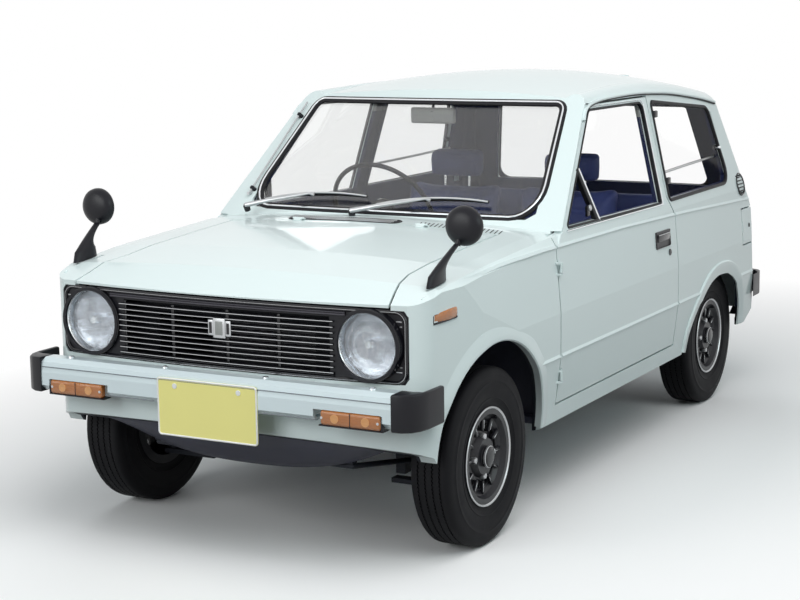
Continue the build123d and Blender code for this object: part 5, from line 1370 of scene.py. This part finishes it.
# rubber bumper corners: plan, foot, top and edge rounding
cornerCaps = {
    "Front": (((0.576, -1.432), (0.576, -1.4915), (0.604, -1.489), (0.628, -1.474), (0.642, -1.45),
               (0.649, -1.415),
               (0.6495, -1.334), (0.636, -1.334), (0.634, -1.425), (0.612, -1.432)), 0.431, 0.533, 0.006),
    "Rear": (((0.56, 1.46), (0.56, 1.4915), (0.598, 1.4905), (0.626, 1.476), (0.641, 1.452), (0.6505, 1.415),
              (0.6515, 1.334), (0.6505, 1.334), (0.648, 1.405), (0.62, 1.456)), 0.363, 0.451, 0.0005),
}
for sign, side in sides:
    for end, (plan, low, top, bevel) in cornerCaps.items():
        work = prism(*([(sign * x, y, z) for x, y in plan] for z in (low, top)))
        flat = [e for e in work.edges if abs(e.verts[0].co.z - e.verts[1].co.z) < 1e-6]
        edged(work, flat, bevel, 3)
        cap = fromWork(work, "cap" + end + side, plastic, "carBody", 32)
        if end == "Front":
            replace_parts(cap, "bumperCaps")

# rear lamps, plate and handle
tail = {"x": 0.492, "z": 0.516, "half": (0.072, 0.032), "splitAt": 0.024, "paneAt": 0.047,
        "pane": (0.042, 0.002, 0.056)}
wide, tall = tail["half"]
for sign, side in sides:
    x, y, z = sign * tail["x"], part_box("tailLamps")[1][1], tail["z"]
    border = window(((x - wide, z - tall), (x + wide, z - tall), (x + wide, z + tall), (x - wide, z + tall)),
                    0.006,
                    steps=4)
    strip("tailRim" + side, border, lambda u, v, y=y: (u, y - 0.0032, v), bead(0.005, 0.003, 0.002), chrome,
          flip=-1)
    split = seed((0.002, 0.0012, 0.06), 0.0004)
    repeated("tailSplits" + side, rowTree, split, plastic, Count=2,
             Start=(x - tail["splitAt"], y - 0.0002, z),
             Step=(2 * tail["splitAt"], 0, 0))
    for name, way, look in (("tailAmber", 1, amberLens), ("tailClear", -1, clearLens)):
        box(name + side, (x + way * sign * tail["paneAt"], y - 0.0012, z), tail["pane"], look, 0.0008)
rearPlate = {"z": 0.52, "size": (0.33, 0.002, 0.164), "lean": 6.8, "half": 0.162, "low": 0.4415,
             "top": 0.5985,
             "boltZ": 0.578, "lampZ": 0.622}
plateY = lowTailAt(0, tail["z"])[1]
box("plateRear", (0, plateY + 0.004, rearPlate["z"]), rearPlate["size"], plateLook, 0.0008,
    tilt(rearPlate["lean"]))
plateBorder("plateBorderRear", rearPlate["half"], rearPlate["low"], rearPlate["top"], plateY + 0.0052, -1)
for k, x in enumerate(plate["boltX"]):
    lathe("plateRearBolt%d" % k, ((-0.006, 0.0075), (0.002, 0.0075), (0.0026, 0)),
          (x, plateY + 0.0015, rearPlate["boltZ"]), (0, 1, 0), plateRim, 20)
y = lowTailAt(0, rearPlate["lampZ"])[1]
box("plateLamp", (0, y + 0.012, rearPlate["lampZ"]), (0.09, 0.026, 0.02), gloss, 0.005)
box("plateLampLens", (0, y + 0.014, 0.6105), (0.07, 0.018, 0.004), clearLens, 0.0015)
gate = {"z": 0.715, "feet": (-0.045, 0.045), "body": "tailgateBody"}
y = tailAt(0, gate["z"])[1]
box("gateHandle0", (0, y + 0.014, gate["z"]), (0.12, 0.012, 0.022), chrome, 0.004, tilt(18),
    body=gate["body"])
for j, foot in enumerate(gate["feet"]):
    box("gateHandleFoot%d" % j, (foot, y + 0.004, gate["z"]), (0.018, 0.018, 0.018), chrome, 0.003,
        body=gate["body"])
keyLock("gateLock", "", tailAt(0.105, 0.712), (0, 1, 0.34), 0.0125, 0.0045, chrome, (0, 0.0046, 0.0015),
        (0.0018, 0.001, 0.009), gate["body"])

# door handles, locks, round vents, side window fittings
fitting = {"handle": ((0.2635, 0.6875), (0.3965, 0.6875), (0.3965, 0.7425), (0.2635, 0.7425)),
           "handleY": 0.33,
           "lock": (0.392, 0.662), "vent": (1.22, 0.822), "ventRadius": 0.037, "slats": 5,
           "slatPitch": 0.0135,
           "catch": (-0.268, 0.872), "latch": (1.072, 0.975), "hingeZ": (0.905, 1.135)}
ventRing = ((0, 0.046), (0.005, 0.0455), (0.008, 0.042), (0.006, 0.0385), (0, 0.0375))
ventBack = ((-0.006, 0.04), (0.0015, 0.039), (0.002, 0))
catchKnob = ((-0.004, 0.009), (0.002, 0.0095), (0.004, 0.007), (0.0045, 0))
latchKnob = ((-0.01, 0.006), (0.002, 0.0065), (0.005, 0.005), (0.006, 0))
# guard bar: place along, height where the flank is taken, inset and height
guardRows = ((0.455, 0.925, 0.03, 0.925), (0.75, 0.935, 0.034, 0.932), (1.07, 0.945, 0.03, 0.94))
for sign, side in sides:
    door = "door%sBody" % side
    surface = onSide(sign)
    x, y = sign * sideX(0.715), fitting["handleY"]
    strip("handleRim" + side, window(fitting["handle"], 0.007, steps=4), surface, bead(0.005, 0.005, 0.001),
          gloss,
          flip=sign, body=door)
    box("handlePaddle" + side, (x + sign * 0.0035, y, 0.7215), (0.008, 0.112, 0.026), gloss, 0.003,
        tilt(y=sign * 8), body=door)
    box("handlePaddleEdge" + side, (x + sign * 0.0068, y, 0.7335), (0.003, 0.11, 0.003), steel, 0.001,
        body=door)
    keyLock("doorLock", side, surface(*fitting["lock"]), (sign, 0, 0), 0.0115, 0.0035, gloss,
            (sign * 0.0037, 0, 0),
            (0.001, 0.0016, 0.009), door)
    # round breather in the rear pillar
    normal = Vector((sign, 0.02, 0.25)).normalized()
    spot = Vector(surface(*fitting["vent"])) - normal * 0.004
    ring = lathe("pillarRing" + side, ventRing, spot, normal, gloss, 64)
    if sign == 1:
        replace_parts(ring, "pillarVents")
    # dark disc behind the slats: painted shade inside the breather
    lathe("pillarBack" + side, ventBack, spot, normal, dark, 48)
    turnTo = normal.to_track_quat("X", "Z").to_matrix()
    for k in range(fitting["slats"]):
        rise = (k - (fitting["slats"] - 1) / 2) * fitting["slatPitch"]
        across = 2 * math.sqrt(fitting["ventRadius"] ** 2 - rise ** 2)
        box("pillarSlat%s%d" % (side, k), spot + turnTo @ Vector((0.004, 0, rise)), (0.006, across, 0.0048),
            plastic,
            0.0015, turnTo, 2)
    # quarter light catch
    catch = Vector(surface(*fitting["catch"]))
    box("quarterLatch" + side, catch + Vector((sign * -0.006, 0, 0.004)), (0.01, 0.022, 0.034), gloss, 0.003,
        body=door)
    lathe("quarterKnob" + side, catchKnob, catch + Vector((0, 0.004, 0.014)), (sign, 0, 0.2), steel, 24,
          body=door)
    # hinges, latch and guard bar of the rear side window
    for k, z in enumerate(fitting["hingeZ"]):
        hinge = Vector(surface(0.4365 + (z - 0.842) * 0.1 + 0.006, z)) + Vector((sign * 0.006, 0, 0))
        box("windowHinge%s%d" % (side, k), hinge, (0.012, 0.03, 0.024), gloss, 0.004)
    latch = Vector(surface(*fitting["latch"]))
    box("windowLatch" + side, latch + Vector((sign * -0.012, -0.012, 0)), (0.01, 0.036, 0.02), gloss, 0.004)
    lathe("latchKnob" + side, latchKnob, latch + Vector((sign * 0.001, -0.004, 0)), (sign, 0, 0.2), chrome,
          20)
    bar = [(sign * (sideX(level) - inset), y, z) for y, level, inset, z in guardRows]
    tube("guardBar" + side, bar, 0.0048, steel, 12)
keyLock("flapLock", "", (sideX(0.655), 1.288, 0.655), (1, 0, 0.1), 0.0085, 0.0025, gloss, (0.0028, 0, 0),
        (0.001, 0.0016, 0.009), "fuelFlapBody")

# aerial pegs
aerial = {"foot": Vector((-0.538, -0.456, 0.905)), "top": Vector((-0.496, -0.139, 1.193)),
          "pegs": (0.06, 0.86)}
pegProfile = ((-0.014, 0), (-0.014, 0.007), (0.002, 0.0075), (0.007, 0.005), (0.008, 0))
for k, t in enumerate(aerial["pegs"]):
    lathe("aerialPeg%d" % k, pegProfile, aerial["foot"].lerp(aerial["top"], t), (-0.4, -0.6, 0.6), plastic,
          20)

# door cards, winders and sun visors
card = {"corners": ((-0.44, 0.372), (0.375, 0.372), (0.375, 0.76), (-0.44, 0.76)), "corner": 0.03,
        "inset": 0.0295,
        "strapFrom": -0.05, "strapPitch": 0.03, "strapZ": 0.7, "strapRise": 0.012, "strapOut": 0.028,
        "winder": (-0.16, 0.6), "armY": 0.045, "armZ": -0.06}
winderBoss = ((0, 0.02), (0.008, 0.019), (0.014, 0.012), (0.015, 0))
winderKnob = ((0, 0.008), (0.006, 0.01), (0.022, 0.0095), (0.026, 0.006), (0.027, 0))
for sign, side in sides:
    door = "door%sBody" % side
    inward = (-sign, 0, 0)

    def cardAt(y, z, sign=sign):
        return (sign * (sideX(z) - card["inset"]), y, z)

    strip("cardBead" + side, window(card["corners"], card["corner"], 0.04), cardAt, bead(0.006, 0.003, 0.001),
          steel, flip=-sign, body=door)
    pull = []
    for k in range(11):
        swell = math.sin(math.pi * k / 10)
        y, z = card["strapFrom"] + card["strapPitch"] * k, card["strapZ"] + card["strapRise"] * swell
        pull.append(Vector(cardAt(y, z)) - Vector((sign * card["strapOut"] * swell, 0, 0)))
    tube("pullStrap" + side, pull, 0.011, navy, 10, body=door)
    winder = Vector(cardAt(*card["winder"])) - Vector((sign * 0.004, 0, 0))
    start, end, knob = (winder + Vector((-sign * out, y, z)) for out, y, z in (
        (0.012, 0, 0), (0.022, card["armY"], card["armZ"]), (0.02, card["armY"], card["armZ"])))
    lathe("winderBoss" + side, winderBoss, winder, inward, plastic, 28, body=door)
    tube("winderArm" + side, [start, end], [0.0065, 0.005], chrome, 10, body=door)
    lathe("winderKnob" + side, winderKnob, knob, inward, plastic, 20, body=door)
    box("sunVisor" + side, (sign * 0.245, -0.03, 1.196), (0.34, 0.115, 0.014), navy, 0.006, tilt(3))
print("rear and doors fitted")


# stage: pale floor that runs into a white background
stageLook = {"floorColour": (0.93, 0.93, 0.93), "floorBounce": 0.11, "keyWatts": 178.0, "frontWatts": 118.0,
             "sideWatts": 56.0, "backWatts": 98.0,
             "skyStrength": 0.17, "skyTint": (0.86, 0.96, 1.0), "fadeFrom": 1.3, "fadeOver": 1.6,
             "oval": (1.25, 0.72, 1.0)}


def backgroundRay(tree):
    # 1 where the camera, a reflection or a window looks at the backdrop
    ray = tree.nodes.new("ShaderNodeLightPath")
    camera, glossy, through = (Sum(tree,
                                   ray.outputs["Is %s Ray" % kind])
                               for kind in ("Camera", "Glossy", "Transmission"))
    return camera.by("ADD", glossy, True).by("ADD", through, True)


floorMesh = bpy.data.meshes.new("floorPlane")
floorMesh.from_pydata([(-60, -60, 0), (60, -60, 0), (60, 60, 0), (-60, 60, 0)], [], [(0, 1, 2, 3)])
ground = placed("ground", floorMesh)
floorWhite = finish("floorWhite", stageLook["floorColour"], 0.85, 0.01, 0.02, 0.5, 60.0, 0.01)
tree = floorWhite.node_tree
shader = tree.nodes["Principled BSDF"]
pale = shader.inputs["Base Color"].links[0].from_socket
grey = stageLook["floorBounce"]
tree.links.new(mixColour(tree, backgroundRay(tree), (grey, grey, grey), pale), shader.inputs["Base Color"])
spot = tree.nodes.new("ShaderNodeTexCoord")
oval = added(tree, "ShaderNodeMapping", Vector=spot.outputs["Object"], Scale=stageLook["oval"])
length = added(tree, "ShaderNodeVectorMath")
length.operation = "LENGTH"
tree.links.new(oval.outputs[0], length.inputs[0])
reach = Sum(tree, length.outputs["Value"]) - stageLook["fadeFrom"]
fade = reach.by("DIVIDE", stageLook["fadeOver"], True)
glow = tree.nodes.new("ShaderNodeEmission")
blend = added(tree, "ShaderNodeMixShader", Fac=fade * backgroundRay(tree))
tree.links.new(shader.outputs[0], blend.inputs[1])
tree.links.new(glow.outputs[0], blend.inputs[2])
tree.links.new(blend.outputs[0], tree.nodes["Material Output"].inputs["Surface"])
ground.data.materials.append(floorWhite)

world = bpy.data.worlds.new("studio")
bpy.context.scene.world = world
world.use_nodes = True
tree = world.node_tree
tree.nodes.clear()
out = tree.nodes.new("ShaderNodeOutputWorld")
lit = added(tree, "ShaderNodeBackground", Color=(*stageLook["skyTint"], 1), Strength=stageLook["skyStrength"])
seen = added(tree, "ShaderNodeBackground", Color=(1, 1, 1, 1))
mix = added(tree, "ShaderNodeMixShader", Fac=backgroundRay(tree))
tree.links.new(lit.outputs[0], mix.inputs[1])
tree.links.new(seen.outputs[0], mix.inputs[2])
tree.links.new(mix.outputs[0], out.inputs["Surface"])


def softBox(name, spot, aim, size, watts, tint, mirrored=True):
    data = bpy.data.lights.new(name, "AREA")
    data.shape = "RECTANGLE"
    data.size = size[0]
    data.size_y = size[1]
    data.energy = watts
    data.color = tint
    lampObject = bpy.data.objects.new(name, data)
    bpy.context.collection.objects.link(lampObject)
    lampObject.visible_glossy = mirrored
    lampObject.location = spot
    lampObject.rotation_euler = (Vector(aim) - Vector(spot)).to_track_quat("-Z", "Y").to_euler()


softBox("keyBox", (2.2, -2.1, 4.5), (0, -0.3, 0.5), (4.6, 4.2), stageLook["keyWatts"], (1.0, 1.0, 1.0), False)
softBox("frontBox", (-1.4, -5.6, 2.4), (0, 0, 0.6), (4.0, 2.4), stageLook["frontWatts"], (0.97, 1.0, 1.0))
softBox("sideBox", (5.5, -1.0, 2.8), (0, 0, 0.6), (4.5, 2.2), stageLook["sideWatts"], (0.82, 1.0, 1.0))
softBox("backBox", (-3.2, 4.6, 3.4), (0, 0, 0.6), (4.0, 3.4), stageLook["backWatts"], (0.94, 0.99, 1.0),
        False)

# camera
view = {"spot": (2.70411, -5.27619, 1.50967), "azimuth": 27.8, "elevation": 9.3, "roll": -0.64,
        "lens": 77.94, "shiftX": -0.0437, "shiftY": -0.0102}
a, e, r = (math.radians(view[k]) for k in ("azimuth", "elevation", "roll"))
back = Vector((math.sin(a) * math.cos(e), -math.cos(a) * math.cos(e), math.sin(e)))
right = Vector((math.cos(a), math.sin(a), 0.0))
up = back.cross(right)
camRight = math.cos(r) * right + math.sin(r) * up
camUp = math.cos(r) * up - math.sin(r) * right
cameraData = bpy.data.cameras.new("mainCamera")
cameraData.sensor_width = 36.0
cameraData.lens = view["lens"]
cameraData.shift_x = view["shiftX"]
cameraData.shift_y = view["shiftY"]
camera = bpy.data.objects.new("mainCamera", cameraData)
bpy.context.collection.objects.link(camera)
camera.matrix_world = Matrix((
    (camRight.x, camUp.x, back.x, view["spot"][0]),
    (camRight.y, camUp.y, back.y, view["spot"][1]),
    (camRight.z, camUp.z, back.z, view["spot"][2]),
    (0, 0, 0, 1),
))
bpy.context.scene.camera = camera
bpy.context.scene.view_settings.view_transform = "Standard"
print("stage and camera ready")
